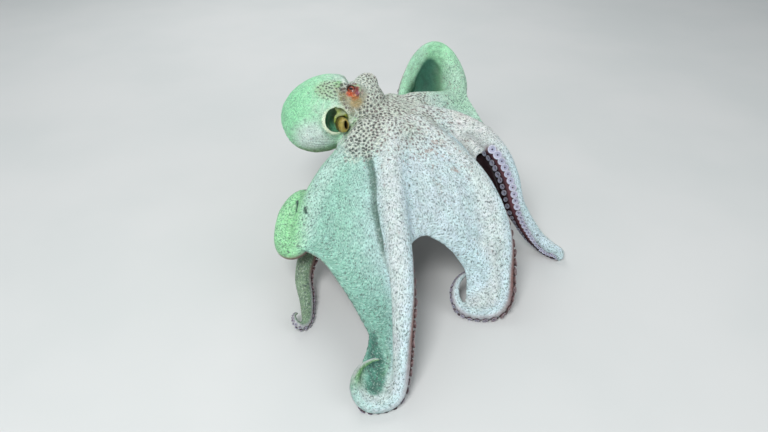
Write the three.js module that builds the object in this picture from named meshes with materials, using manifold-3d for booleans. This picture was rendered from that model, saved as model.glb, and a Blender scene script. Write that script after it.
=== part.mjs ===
// A common octopus (Octopus vulgaris), pale, standing on its spread arms with the web stretched between them
// like a tent. Life size, in millimetres, +Z up, on a flat floor at z = 0. The head looks along +X, a little
// towards -Y, the mantle hangs behind it, and the animal's right side faces -Y.

import * as THREE from 'three';
import { mergeVertices } from 'three/addons/utils/BufferGeometryUtils.js';
import Module from 'manifold-3d';

const wasm = await Module();
wasm.setup();

// ---- driving dimensions ----
const GAP = 0.3; // clearance between two pieces that meet
const ARM_BASE_RADIUS = 20;
const ARM_TIP_RADIUS = 1.6;
const ARM_SIDES = 8;
const ARM_SOLE_FLATNESS = 0.72; // depth of the sucker side over the radius
const FLOOR_PRESS = 2; // how far the floor flattens an arm that lies on it
const SAMPLE_STEP = 2; // spacing of the centreline's samples
const RING_STEP = 34; // most spacing of the rings along an arm
const RING_TURN = 24; // and most turn from one ring to the next, in degrees
const WEB_THICKNESS = 3.2;
const MANTLE_RADIUS = 60;
const MANTLE_NECK = [-42, 29, 211]; // where the mantle's axis starts, behind the head
const MANTLE_APEX = [-160, 8, 156]; // and where it ends
const HEAD_CENTRE = [-30, 22, 212];
const EYE_RADIUS = 12;
const CROWN_CENTRE = [8, 14, 183];

// Each arm is named by its side and its place, counted from the front. Its path runs from the crown to
// where the tip starts to curl, `backs` are the directions that its smooth side faces, spread evenly along
// the path, and the tip bends towards that side by `turn` degrees over `length`, drifting sideways, faster
// and faster by `tighten`. An arm that has lost its tip is blunt, with only the share `shown` of a whole one.
const ARMS = {
  l2: {
    path: [
      [50, 52, 185], [90, 76, 180], [120, 98, 174], [135, 119, 185], [126, 144, 217], [100, 162, 243],
      [75, 173, 227], [57, 178, 194], [42, 181, 156], [38, 182, 118],
    ],
    backs: [[0.3, 0.2, 1], [0, -0.6, 0.8], [0.1, -1, 0.1], [0.8, -0.5, 0]],
    curl: { length: 95, turn: -120, drift: 0, tighten: 1.3 },
  },
  l1: {
    path: [
      [66, 10, 182], [112, 8, 177], [158, -10, 164], [188, -38, 142], [204, -66, 112], [212, -87, 81],
      [229, -96, 53], [249, -104, 26], [272, -115, 10],
    ],
    backs: [
      [0.3, 0, 1], [0.3, -0.1, 1], [0.45, 0.7, 0.2], [0.42, 0.8, -0.1], [0.4, 0.85, -0.3], [0.5, 0.7, 0.1],
      [0.6, 0.5, 0.4],
    ],
    curl: { length: 34, turn: -60, drift: 0, tighten: 1.5 },
    shown: 0.7,
  },
  r1: {
    path: [
      [54, -26, 182], [98, -66, 168], [142, -106, 140], [169, -150, 106], [181, -192, 70], [182, -234, 31],
    ],
    backs: [[0.3, -0.3, 1], [0, -0.3, 1], [-0.6, -0.2, 0.7], [-1, 0.1, 0.1]],
    curl: { length: 178, turn: 275, drift: 10, tighten: 1.1 },
  },
  r2: {
    path: [
      [18, -40, 182], [15, -115, 170], [19, -195, 148], [26, -264, 117], [30, -322, 85], [29, -368, 46],
      [26, -399, 18],
    ],
    backs: [[0, -0.3, 1], [-0.3, -0.3, 0.9], [-1, 0, 0.3]],
    curl: { length: 145, turn: 275, drift: 6, tighten: 1.0 },
  },
  r3: {
    path: [
      [-20, -34, 184], [-48, -76, 166], [-76, -114, 148], [-94, -140, 128], [-105, -166, 111],
      [-110, -190, 94], [-119, -206, 80], [-132, -206, 76], [-141, -189, 82], [-143, -162, 93],
      [-138, -136, 104], [-125, -112, 108], [-114, -92, 101], [-107, -77, 84],
    ],
    backs: [[-0.3, -0.3, 1], [-0.1, -0.3, 1], [0.1, 0.1, 1], [-0.1, 0.1, 1], [-1, 0, 0.4], [-1, 0, -0.4]],
    curl: { length: 50, turn: -50, drift: 0, tighten: 1 },
  },
  r4: {
    path: [
      [-38, -4, 172], [-64, -62, 126], [-88, -112, 86], [-106, -166, 52], [-115, -204, 28], [-107, -240, 12],
      [-103, -274, 4],
    ],
    backs: [[-0.6, 0, 1], [-0.8, 0, 0.6]],
    curl: { length: 56, turn: 260, drift: 0, tighten: 1.1 },
  },
  l4: {
    path: [[-30, 48, 170], [-52, 100, 120], [-68, 160, 54], [-74, 212, 10], [-56, 254, 2], [-14, 276, 2]],
    backs: [[0, 0.3, 1], [0, -1, 0.3]],
    curl: { length: 150, turn: 290, drift: 0, tighten: 1.2 },
  },
  l3: {
    path: [[15, 56, 180], [46, 116, 131], [80, 166, 68], [106, 208, 16], [122, 252, 3]],
    backs: [[0, 0.3, 1], [0, 0.2, 1], [-1, 0, 0.3]],
    curl: { length: 170, turn: 290, drift: 0, tighten: 1.2 },
  },
};

// The web between two neighbouring arms: how far along each arm it reaches, as a share of the arm's length,
// how high on each it grows, in radii towards the smooth side, and the points that its free edge passes, from
// the first arm to the second. A web with no points has a plain arched edge, and one with a lag leaves the
// first arm's root slowly.
const WEBS = [
  { arms: ['l2', 'l1'], reach: [0.34, 0.33], lift: [0.2, 0.3], edge: [[176, 62, 150], [188, 36, 150]] },
  {
    arms: ['l1', 'r1'],
    reach: [0.31, 0.36],
    lift: [0.3, 0.4],
    edge: [[176, -18, 142], [160, -30, 140], [152, -50, 132]],
  },
  {
    arms: ['r1', 'r2'],
    reach: [0.82, 0.45],
    lift: [0.5, 0.5],
    edge: [[124, -223, 45], [114, -212, 64], [97, -213, 88], [67, -213, 110], [48, -226, 114]],
  },
  {
    arms: ['r2', 'r3'],
    reach: [0.9, 0.52],
    lift: [-0.1, 0.45],
    edge: [
      [-14, -347, 46], [-27, -321, 65], [-41, -301, 78], [-56, -281, 88], [-80, -248, 96], [-104, -222, 90],
    ],
  },
  { arms: ['r3', 'r4'], reach: [0.33, 0.4], lift: [0.1, 0.1], edge: [[-92, -114, 104]] },
  { arms: ['r4', 'l4'], reach: [0.36, 0.34], lift: [0.2, 0.2], edge: [[-64, 30, 118]] },
  { arms: ['l4', 'l3'], reach: [0.42, 0.45], lift: [0.2, 0.2], edge: [] },
  { arms: ['l3', 'l2'], reach: [0.5, 0.88], lift: [0.2, 0], edge: [[62, 200, 94]], lag: 2 },
];
const EDGE_PULL = 0.28; // how far a plain edge is drawn in towards the crown

// ---- small helpers ----
const vec = (a) => new THREE.Vector3(...a);
const mix = (a, b, t) => a.clone().lerp(b, t);
const smooth = (t) => t * t * (3 - 2 * t);

/** Turns a closed geometry into a manifold solid. */
function solid(geometry) {
  const bare = geometry.clone();
  bare.deleteAttribute('normal');
  bare.deleteAttribute('uv');
  const merged = mergeVertices(bare, 1e-3);
  const index = merged.index.array;
  const kept = [];
  for (let i = 0; i < index.length; i += 3) {
    const [a, b, c] = index.slice(i, i + 3);
    if (a !== b && b !== c && c !== a) kept.push(a, b, c);
  }
  return new wasm.Manifold(
    new wasm.Mesh({
      numProp: 3,
      vertProperties: new Float32Array(merged.attributes.position.array),
      triVerts: new Uint32Array(kept),
    }),
  );
}

/** The largest piece of a solid, as a geometry. */
function geometryOf(shape) {
  const pieces = shape.decompose().sort((a, b) => b.volume() - a.volume());
  const mesh = pieces[0].getMesh();
  const geometry = new THREE.BufferGeometry();
  geometry.setAttribute('position', new THREE.BufferAttribute(new Float32Array(mesh.vertProperties), 3));
  geometry.setIndex(new THREE.BufferAttribute(new Uint32Array(mesh.triVerts), 1));
  return geometry;
}

/** A closed geometry through rings of points, all of one count, with a fan at each end. */
function loft(rings) {
  const count = rings[0].length;
  const points = rings.flat();
  const index = [];
  for (let r = 0; r + 1 < rings.length; r++) {
    for (let k = 0; k < count; k++) {
      const a = r * count + k;
      const b = r * count + ((k + 1) % count);
      index.push(a, b, b + count, a, b + count, a + count);
    }
  }
  const caps = [[0, -1], [rings.length - 1, 1]];
  for (const [r, side] of caps) {
    const centre = new THREE.Vector3();
    rings[r].forEach((p) => centre.add(p));
    points.push(centre.divideScalar(count));
    for (let k = 0; k < count; k++) {
      const a = r * count + k;
      const b = r * count + ((k + 1) % count);
      index.push(...(side > 0 ? [a, b, points.length - 1] : [b, a, points.length - 1]));
    }
  }
  const geometry = new THREE.BufferGeometry().setFromPoints(points);
  geometry.setIndex(index);
  return geometry;
}

// ---- arms ----
/** Radius at a share f of a whole arm's length. */
const armRadius = (f) => ARM_TIP_RADIUS + (ARM_BASE_RADIUS - ARM_TIP_RADIUS) * (1 - f ** 2) ** 0.8;

/** Lifts a height off the floor, smoothly, so that an arm of that radius is pressed a little flat there. */
function lifted(z, radius) {
  const lowest = ARM_SOLE_FLATNESS * radius - FLOOR_PRESS;
  return 0.5 * (z + lowest + Math.hypot(z - lowest, 3));
}

/** The smooth side's direction at a share of the path, between directions spread evenly along it. */
function hintAt(backs, share) {
  const x = share * (backs.length - 1);
  const i = Math.min(Math.floor(x), backs.length - 2);
  return mix(backs[i].clone().normalize(), backs[i + 1].clone().normalize(), smooth(x - i));
}

/** Evens out a run of points: each becomes the mean of those up to `reach` away on both sides. */
function evened(points, reach) {
  return points.map((_, i) => {
    const side = Math.min(reach, i, points.length - 1 - i);
    const near = points.slice(i - side, i + side + 1);
    return near.reduce((sum, p) => sum.add(p), new THREE.Vector3()).divideScalar(near.length);
  });
}

/** The arm's centreline: points, smooth-side directions and radii, SAMPLE_STEP apart. */
function centreline({ path, backs, curl, shown = 1 }) {
  const curve = new THREE.CatmullRomCurve3(path.map(vec), false, 'catmullrom', 0.5);
  const stretch = curve.getLength();
  const steps = Math.floor(stretch / SAMPLE_STEP);
  const course = curve.getSpacedPoints(steps).slice(0, -1);
  const end = curve.getPoint(1);
  const heading = curve.getTangent(1).normalize();
  const back = vec(backs.at(-1)).projectOnPlane(heading).normalize();
  const side = heading.clone().cross(back);
  const hints = course.map((_, i) => hintAt([...backs.slice(0, -1).map(vec), back], i / steps));
  const turns = Math.floor(curl.length / SAMPLE_STEP);
  for (let i = 0; i < turns; i++) {
    const angle = THREE.MathUtils.degToRad(curl.turn) * ((i + 0.5) / turns) ** curl.tighten;
    course.push(end.clone());
    hints.push(heading.clone().multiplyScalar(-Math.sin(angle)).addScaledVector(back, Math.cos(angle)));
    end.addScaledVector(heading, SAMPLE_STEP * Math.cos(angle));
    end.addScaledVector(back, SAMPLE_STEP * Math.sin(angle));
    end.addScaledVector(side, curl.drift / turns);
  }
  const points = evened(course, 7);
  const bluntness = shown < 1 ? armRadius(shown) : 0;
  const radii = points.map((_, i) => {
    const left = (points.length - 1 - i) * SAMPLE_STEP;
    const rounding = left < bluntness ? Math.sqrt(0.06 + 0.94 * (1 - (1 - left / bluntness) ** 2)) : 1;
    return rounding * armRadius((shown * i) / (points.length - 1));
  });
  points.forEach((p, i) => p.setZ(lifted(p.z, radii[i])));
  const tangents = points.map((_, i) =>
    points[Math.min(i + 1, points.length - 1)].clone().sub(points[Math.max(i - 1, 0)]).normalize());
  const normals = hints.map((h, i) => h.projectOnPlane(tangents[i]).normalize());
  return { points, normals, tangents, radii, stretchCount: steps };
}

/** The section of an arm at a sample: round on the smooth side, flatter on the sucker side, and drawn in on
 * the inside of a tight bend. */
function armRing(line, i, grow = 0) {
  const side = line.tangents[i].clone().cross(line.normals[i]);
  const radius = line.radii[i] + grow;
  const reach = 4;
  const [before, after] = [Math.max(i - reach, 0), Math.min(i + reach, line.points.length - 1)];
  const inward = line.tangents[after].clone().sub(line.tangents[before]);
  const bendRadius = ((after - before) * SAMPLE_STEP) / Math.max(inward.length(), 1e-6);
  inward.normalize();
  return Array.from({ length: ARM_SIDES }, (_, k) => {
    const angle = ((k + 0.5) / ARM_SIDES) * 2 * Math.PI;
    const depth = Math.cos(angle) > 0 ? 1 : ARM_SOLE_FLATNESS;
    const offset = line.normals[i].clone().multiplyScalar(radius * depth * Math.cos(angle))
      .addScaledVector(side, radius * Math.sin(angle));
    const excess = offset.dot(inward) - (0.75 * bendRadius + grow);
    if (excess > 0) offset.addScaledVector(inward, -excess);
    return offset.add(line.points[i]);
  });
}

/** Sample numbers of the rings from one sample of the arm to another, closer where it bends. */
function ringPlaces(line, from, to) {
  const bend = (i) => THREE.MathUtils.radToDeg(line.tangents[i].angleTo(line.tangents[i + 1]));
  const share = (i) => Math.max(bend(i) / RING_TURN, SAMPLE_STEP / RING_STEP);
  let whole = 0;
  for (let i = from; i < to; i++) whole += share(i);
  const count = Math.max(1, Math.round(whole));
  const places = [from];
  let done = 0;
  for (let i = from; i < to; i++) {
    done += share(i);
    if (done >= (places.length * whole) / count - 1e-6) places.push(i + 1);
  }
  return [...new Set([...places.slice(0, count), to])];
}

const lines = Object.fromEntries(Object.entries(ARMS).map(([name, arm]) => [name, centreline(arm)]));

/** A length of an arm between two samples, pulled back by half the gap where it meets the next. */
function armLength(line, from, to) {
  const rings = ringPlaces(line, from, to).map((i) => armRing(line, i));
  if (to < line.points.length - 1) {
    rings.at(-1).forEach((p) => p.addScaledVector(line.tangents[to], -GAP / 2));
  }
  if (from > 0) rings[0].forEach((p) => p.addScaledVector(line.tangents[from], GAP / 2));
  return solid(loft(rings));
}

/** The whole arm, larger all round by the gap: the room that other pieces leave it. */
function armRoom(line, cuts) {
  const places = cuts.slice(1).flatMap((to, k) => ringPlaces(line, cuts[k], to).slice(k ? 1 : 0));
  const rings = places.map((i) => armRing(line, i, GAP));
  rings[0].forEach((p) => p.addScaledVector(line.tangents[0], -GAP));
  rings.at(-1).forEach((p) => p.addScaledVector(line.tangents.at(-1), GAP));
  return solid(loft(rings));
}

// ---- webs ----
/** A point at a share f of an arm's length, raised from its centreline to the smooth side by some radii. */
function alongArm(line, f, lift) {
  const x = f * (line.points.length - 1);
  const i = Math.min(Math.floor(x), line.points.length - 2);
  const centre = mix(line.points[i], line.points[i + 1], x - i);
  return centre.addScaledVector(line.normals[i], lift * line.radii[i]);
}

/** The web's middle surface: a patch between two arms, the crown and the free edge. */
function webPatch({ arms, reach, lift, edge, lag = 1 }, across, along) {
  const [first, second] = arms.map((name) => lines[name]);
  const left = (v) => alongArm(first, reach[0] * v ** lag, lift[0]);
  const right = (v) => alongArm(second, reach[1] * v, lift[1]);
  const plain = mix(mix(left(1), right(1), 0.5), mix(left(0), right(0), 0.5), EDGE_PULL);
  const edgePoints = edge.length ? edge.map(vec) : [plain];
  const rim = new THREE.CatmullRomCurve3([left(1), ...edgePoints, right(1)], false, 'catmullrom', 0.5);
  const rimPoints = rim.getSpacedPoints(across);
  const rows = [];
  for (let i = 0; i <= across; i++) {
    const u = i / across;
    rows.push(Array.from({ length: along + 1 }, (_, j) => {
      const v = 1 - (1 - j / along) ** 1.6;
      const chord = mix(left(1), right(1), u);
      return mix(left(v), right(v), u).addScaledVector(rimPoints[i].clone().sub(chord), v);
    }));
  }
  return rows;
}

/** A closed sheet of even thickness round a grid of points. */
function sheet(rows, thickness) {
  const held = (k, list) => list[Math.min(Math.max(k, 0), list.length - 1)];
  const at = (i, j) => held(j, held(i, rows));
  const faces = [thickness / 2, -thickness / 2].map((offset) => rows.map((row, i) => row.map((p, j) => {
    const across = at(i + 1, j).clone().sub(at(i - 1, j));
    const along = at(i, j + 1).clone().sub(at(i, j - 1));
    return p.clone().addScaledVector(across.cross(along).normalize(), offset);
  })));
  const border = [];
  const [n, m] = [rows.length - 1, rows[0].length - 1];
  for (let i = 0; i < n; i++) border.push([i, 0]);
  for (let j = 0; j < m; j++) border.push([n, j]);
  for (let i = n; i > 0; i--) border.push([i, m]);
  for (let j = m; j > 0; j--) border.push([0, j]);
  const number = (face, [i, j]) => face * (n + 1) * (m + 1) + i * (m + 1) + j;
  const index = [];
  for (let i = 0; i < n; i++) {
    for (let j = 0; j < m; j++) {
      const [a, b, c, d] = [[i, j], [i + 1, j], [i + 1, j + 1], [i, j + 1]];
      index.push(...[a, b, c, a, c, d].map((x) => number(0, x)));
      index.push(...[a, c, b, a, d, c].map((x) => number(1, x)));
    }
  }
  border.forEach((a, k) => {
    const b = border[(k + 1) % border.length];
    const [a0, b0, a1, b1] = [number(0, a), number(0, b), number(1, a), number(1, b)];
    index.push(a0, a1, b1, a0, b1, b0);
  });
  const geometry = new THREE.BufferGeometry().setFromPoints(faces.flat(2));
  geometry.setIndex(index);
  return geometry;
}

// ---- body ----
/** Turns a geometry so that its own direction `from` points along `to`. */
function turned(geometry, from, to) {
  return geometry.applyQuaternion(new THREE.Quaternion().setFromUnitVectors(vec(from), vec(to).normalize()));
}

/** An ellipsoid of three half-axes, turned so that its x axis points along `ahead`. */
function ellipsoid(centre, halves, ahead, grow = 0, detail = [14, 10]) {
  const geometry = new THREE.SphereGeometry(1, ...detail);
  geometry.scale(...halves.map((h) => h + grow));
  turned(geometry, [1, 0, 0], ahead);
  geometry.translate(...centre);
  return solid(geometry);
}

const LOOK = [0.91, -0.41, 0]; // the way that the head looks
const RIGHTWARD = [-0.41, -0.91, 0]; // from the left eye to the right

/** The place of an eye: side is 1 for the right eye and -1 for the left. */
const eyeCentre = (side) => vec(HEAD_CENTRE).addScaledVector(vec(RIGHTWARD), 25 * side).add(vec([-2, 0, 20]));

/** The mantle: a bag with its profile swung round its axis. */
function mantle(grow = 0) {
  const axis = vec(MANTLE_APEX).sub(vec(MANTLE_NECK));
  const length = axis.length();
  const profile = Array.from({ length: 11 }, (_, i) => {
    const t = i / 10;
    const bulge = Math.sqrt(Math.max(0, 1 - (Math.abs(t - 0.45) / 0.56) ** 2.1));
    const ends = i === 0 || i === 10;
    return new THREE.Vector2(ends ? 0 : (MANTLE_RADIUS + grow) * bulge, (t - 0.02) * (length + 2 * grow));
  });
  const geometry = new THREE.LatheGeometry(profile, 18);
  turned(geometry, [0, 1, 0], axis.toArray());
  geometry.translate(...MANTLE_NECK);
  return solid(geometry);
}

const APERTURE = [-70, -30, 199]; // the middle of the mantle's open edge, on the right of the neck
const APERTURE_FACING = [0.5, -0.8, 0.2];
const mantleCavity = () => ellipsoid(APERTURE, [30, 20, 21], APERTURE_FACING, 0, [12, 8]);

// The funnel: a short bent tube from deep inside the mantle, with a slit for a mouth, inside the open edge.
const FUNNEL_PATH = [[-64, -2, 181], [-64, -12, 185], [-62, -25, 189], [-58, -38, 194.5]];
const FUNNEL_RADII = [11, 12.5, 12.5, 11.5];
const FUNNEL_NARROWNESS = 0.73;
const FUNNEL_SLIT = { halves: [2.6, 6.5], offset: 3, depth: 12 };

function funnel(grow = 0) {
  const curve = new THREE.CatmullRomCurve3(FUNNEL_PATH.map(vec), false, 'catmullrom', 0.5);
  const ringAt = (point, along, across, down, offset = 0) => {
    const x = along.clone().cross(new THREE.Vector3(0, 0, 1)).normalize();
    const y = along.clone().cross(x);
    return Array.from({ length: 12 }, (_, k) => {
      const angle = (k / 12) * 2 * Math.PI;
      const from = point.clone().addScaledVector(x, across * Math.cos(angle) - offset);
      return from.addScaledVector(y, down * Math.sin(angle));
    });
  };
  const count = 5;
  const rings = Array.from({ length: count + 1 }, (_, i) => {
    const x = (i / count) * (FUNNEL_RADII.length - 1);
    const k = Math.min(Math.floor(x), FUNNEL_RADII.length - 2);
    const radius = THREE.MathUtils.lerp(FUNNEL_RADII[k], FUNNEL_RADII[k + 1], x - k);
    const ahead = curve.getTangent(i / count);
    return ringAt(curve.getPoint(i / count), ahead, FUNNEL_NARROWNESS * radius + grow, radius + grow);
  });
  if (grow) return solid(loft(rings));
  const { halves, offset, depth } = FUNNEL_SLIT;
  const [mouth, ahead] = [curve.getPoint(1), curve.getTangent(1)];
  const slit = [-depth, 1].map((d) =>
    ringAt(mouth.clone().addScaledVector(ahead, d), ahead, ...halves, offset));
  return solid(loft(rings)).subtract(solid(loft(slit)));
}

// ---- putting it together: each piece leaves room for those before it ----
const pieces = [];
const rooms = [];

/** Adds pieces less the rooms of those before them, then takes their own room. */
function place(shapes, colour, roughness, room) {
  for (const [name, whole] of Object.entries(shapes)) {
    const shape = rooms.reduce((rest, other) => rest.subtract(other), whole);
    pieces.push({ name, colour, roughness, shape });
  }
  rooms.push(room);
}

const PALE = 0xdfe9dd;
const floorBlock = solid(new THREE.BoxGeometry(2000, 2000, 200).translate(0, 0, -100));

for (const [name, side] of Object.entries({ eye_right: 1, eye_left: -1 })) {
  const ball = (grow) => ellipsoid(eyeCentre(side).toArray(), Array(3).fill(EYE_RADIUS), LOOK, grow, [12, 8]);
  place({ [name]: ball(0) }, 0xc2602a, 0.2, ball(GAP));
}
const head = (grow) => [1, -1].reduce((rest, side) => {
  const lid = eyeCentre(side).addScaledVector(vec(RIGHTWARD), -6 * side).toArray();
  return rest.add(ellipsoid(lid, [17, 17, 16], LOOK, grow, [10, 7]));
}, ellipsoid(HEAD_CENTRE, [36, 33, 30], LOOK, grow, [12, 9]));
place({ head: head(0) }, PALE, 0.5, head(GAP));
place({ funnel: funnel(0) }, 0xc9a544, 0.4, funnel(GAP));
place({ mantle: mantle(0).subtract(mantleCavity()) }, PALE, 0.5, mantle(GAP));
const crown = (grow) => ellipsoid(CROWN_CENTRE, [62, 56, 27], [1, 0, 0], grow, [16, 9]);
place({ crown: crown(0) }, PALE, 0.5, crown(GAP));

for (const [name, line] of Object.entries(lines)) {
  const cuts = [0, Math.round(line.stretchCount * 0.5), line.stretchCount, line.points.length - 1];
  const lengths = ['base', 'middle', 'tip'].map((length, k) =>
    [`arm_${name}_${length}`, armLength(line, cuts[k], cuts[k + 1]).subtract(floorBlock)]);
  place(Object.fromEntries(lengths), PALE, 0.5, armRoom(line, cuts));
}

for (const web of WEBS) {
  const [membrane, room] = [WEB_THICKNESS, WEB_THICKNESS + 2 * GAP].map((thickness) =>
    solid(sheet(webPatch(web, 6, 8), thickness)));
  place({ [`web_${web.arms.join('_')}`]: membrane }, PALE, 0.5, room);
}

const octopus = new THREE.Group();
for (const { name, colour, roughness, shape } of pieces) {
  const material = new THREE.MeshStandardMaterial({ color: colour, roughness, metalness: 0 });
  const mesh = new THREE.Mesh(geometryOf(shape), material);
  mesh.name = name;
  octopus.add(mesh);
}

// The frame's origin is under the middle of the whole animal, on the floor.
const box = new THREE.Box3().setFromObject(octopus);
octopus.position.set(-(box.min.x + box.max.x) / 2, -(box.min.y + box.max.y) / 2, -box.min.z);

export default octopus;
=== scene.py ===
"""The octopus's looks: one skin over the CAD solids, with suckers, eyes and funnel, on a plain floor.

Lengths are in millimetres in the design frame of the solids until a mesh is made, and then in metres in the
row frame.
"""

import math

import bpy
import numpy as np
import openvdb
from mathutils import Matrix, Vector, kdtree
from mathutils.bvhtree import BVHTree


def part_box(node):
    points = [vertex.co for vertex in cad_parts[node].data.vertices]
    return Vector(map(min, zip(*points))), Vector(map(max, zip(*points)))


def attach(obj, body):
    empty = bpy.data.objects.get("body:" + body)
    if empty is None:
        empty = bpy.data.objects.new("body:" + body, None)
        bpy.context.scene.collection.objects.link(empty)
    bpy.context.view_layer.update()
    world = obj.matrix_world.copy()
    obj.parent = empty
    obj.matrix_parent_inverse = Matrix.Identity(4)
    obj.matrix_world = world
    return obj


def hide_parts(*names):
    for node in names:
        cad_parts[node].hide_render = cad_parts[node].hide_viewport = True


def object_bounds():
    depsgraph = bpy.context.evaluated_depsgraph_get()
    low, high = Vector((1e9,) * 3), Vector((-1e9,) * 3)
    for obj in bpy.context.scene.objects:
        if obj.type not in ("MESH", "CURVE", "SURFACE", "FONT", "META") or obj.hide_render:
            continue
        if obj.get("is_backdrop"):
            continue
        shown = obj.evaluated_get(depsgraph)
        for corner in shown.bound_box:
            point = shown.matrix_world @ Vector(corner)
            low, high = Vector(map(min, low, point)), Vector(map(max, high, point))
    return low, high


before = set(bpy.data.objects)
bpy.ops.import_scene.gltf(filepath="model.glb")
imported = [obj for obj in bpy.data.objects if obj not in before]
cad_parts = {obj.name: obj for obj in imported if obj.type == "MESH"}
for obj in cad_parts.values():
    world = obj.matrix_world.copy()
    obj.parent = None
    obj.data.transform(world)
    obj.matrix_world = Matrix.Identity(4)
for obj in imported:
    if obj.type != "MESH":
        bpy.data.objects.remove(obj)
cad_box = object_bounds()


def V(*values):
    return np.array(values, float)


def unit(v):
    return v / np.linalg.norm(v, axis=-1, keepdims=True)


def dot(a, b):
    """The scalar product of each pair of rows."""
    return np.sum(a * b, -1)


def lerp(a, b, t):
    return a + (b - a) * t


def smoothstep(a, b, x):
    """0 at a and 1 at b, smooth between them and held beyond; a may be the larger."""
    t = np.clip((x - a) / (b - a), 0, 1)
    return t * t * (3 - 2 * t)


# ---- the animal's form: the same named sizes as the solids have ----
ARM_BASE_RADIUS = 20
ARM_TIP_RADIUS = 1.6
ARM_SOLE_FLATNESS = 0.72
FLOOR_PRESS = 2
SAMPLE_STEP = 2.0
MANTLE_RADIUS = 60
MANTLE_NECK = V(-42, 29, 211)
MANTLE_APEX = V(-160, 8, 156)
HEAD_CENTRE = V(-30, 22, 212)
EYE_RADIUS = 12
CROWN_CENTRE = V(8, 14, 183)
CROWN_HALVES = V(62, 56, 27)
LOOK = V(0.91, -0.41, 0)
RIGHTWARD = V(-0.41, -0.91, 0)
UP = V(0, 0, 1)
APERTURE = V(-70, -30, 199)
APERTURE_FACING = unit(V(0.5, -0.8, 0.2))
MOUTH = V(8, 14, 158)  # where the roots meet; no mouth is modelled, since the dome would bury it
ROOT_OUT = 17  # each arm's root starts this far out from the mouth
ROOT_RISE = 10  # and this far above it
ROOT_RADIUS = 9.5

# each arm's centreline, the way its smooth side faces along it, and the curl at its end: length, turn in
# degrees, sideways drift and how late the turn comes. `shown` is the share of the full length at which an arm
# ends.
ARMS = {
    "l2": dict(
        path=[(50, 52, 185), (90, 76, 180), (120, 98, 174), (135, 119, 185), (126, 144, 217), (100, 162, 243),
              (75, 173, 227), (57, 178, 194), (42, 181, 156), (38, 182, 118)],
        backs=[(0.3, 0.2, 1), (0, -0.6, 0.8), (0.1, -1, 0.1), (0.8, -0.5, 0)],
        curl=(95, -120, 0, 1.3)),
    "l1": dict(
        path=[(66, 10, 182), (112, 8, 177), (158, -10, 164), (188, -38, 142), (204, -66, 112), (212, -87, 81),
              (229, -96, 53), (249, -104, 26), (272, -115, 10)],
        backs=[(0.3, 0, 1), (0.3, -0.1, 1), (0.45, 0.7, 0.2), (0.42, 0.8, -0.1), (0.4, 0.85, -0.3),
               (0.5, 0.7, 0.1), (0.6, 0.5, 0.4)],
        curl=(34, -60, 0, 1.5),
        shown=0.7),
    "r1": dict(
        path=[(54, -26, 182), (98, -66, 168), (142, -106, 140), (169, -150, 106), (181, -192, 70),
              (182, -234, 31)],
        backs=[(0.3, -0.3, 1), (0, -0.3, 1), (-0.6, -0.2, 0.7), (-1, 0.1, 0.1)],
        curl=(178, 275, 10, 1.1)),
    "r2": dict(
        path=[(18, -40, 182), (15, -115, 170), (19, -195, 148), (26, -264, 117), (30, -322, 85),
              (29, -368, 46), (26, -399, 18)],
        backs=[(0, -0.3, 1), (-0.3, -0.3, 0.9), (-1, 0, 0.3)],
        curl=(145, 275, 6, 1.0)),
    "r3": dict(
        path=[(-20, -34, 184), (-48, -76, 166), (-76, -114, 148), (-94, -140, 128), (-105, -166, 111),
              (-110, -190, 94), (-119, -206, 80), (-132, -206, 76), (-141, -189, 82), (-143, -162, 93),
              (-138, -136, 104), (-125, -112, 108), (-114, -92, 101), (-107, -77, 84)],
        backs=[(-0.3, -0.3, 1), (-0.1, -0.3, 1), (0.1, 0.1, 1), (-0.1, 0.1, 1), (-1, 0, 0.4), (-1, 0, -0.4)],
        curl=(50, -50, 0, 1)),
    "r4": dict(
        path=[(-38, -4, 172), (-64, -62, 126), (-88, -112, 86), (-106, -166, 52), (-115, -204, 28),
              (-107, -240, 12), (-103, -274, 4)],
        backs=[(-0.6, 0, 1), (-0.8, 0, 0.6)],
        curl=(56, 260, 0, 1.1)),
    "l4": dict(
        path=[(-30, 48, 170), (-52, 100, 120), (-68, 160, 54), (-74, 212, 10), (-56, 254, 2), (-14, 276, 2)],
        backs=[(0, 0.3, 1), (0, -1, 0.3)],
        curl=(150, 290, 0, 1.2)),
    "l3": dict(
        path=[(15, 56, 180), (46, 116, 131), (80, 166, 68), (106, 208, 16), (122, 252, 3)],
        backs=[(0, 0.3, 1), (0, 0.2, 1), (-1, 0, 0.3)],
        curl=(170, 290, 0, 1.2)),
}

# arms, how far along each arm the web reaches, the points of its free edge, how high on each arm it grows,
# in radii towards the smooth side, and how slowly it leaves the first arm's root
WEBS = [
    (("l2", "l1"), (0.34, 0.33), [(176, 62, 150), (188, 36, 150)], (0.2, 0.3), 1),
    (("l1", "r1"), (0.31, 0.36), [(176, -18, 142), (160, -30, 140), (152, -50, 132)], (0.3, 0.4), 1),
    (("r1", "r2"), (0.82, 0.45),
     [(124, -223, 45), (114, -212, 64), (97, -213, 88), (67, -213, 110), (48, -226, 114)], (0.5, 0.5), 1),
    (("r2", "r3"), (0.9, 0.52),
     [(-14, -347, 46), (-27, -321, 65), (-41, -301, 78), (-56, -281, 88), (-80, -248, 96), (-104, -222, 90)],
     (-0.1, 0.45), 1),
    (("r3", "r4"), (0.33, 0.4), [(-92, -114, 104)], (0.1, 0.1), 1),
    (("r4", "l4"), (0.36, 0.34), [(-64, 30, 118)], (0.2, 0.2), 1),
    (("l4", "l3"), (0.42, 0.45), [], (0.2, 0.2), 1),
    (("l3", "l2"), (0.5, 0.88), [(62, 200, 94)], (0.2, 0), 2),
]
EDGE_PULL = 0.28
WEB_THICKNESS = 3.2
WEB_FILLET = 7


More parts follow.
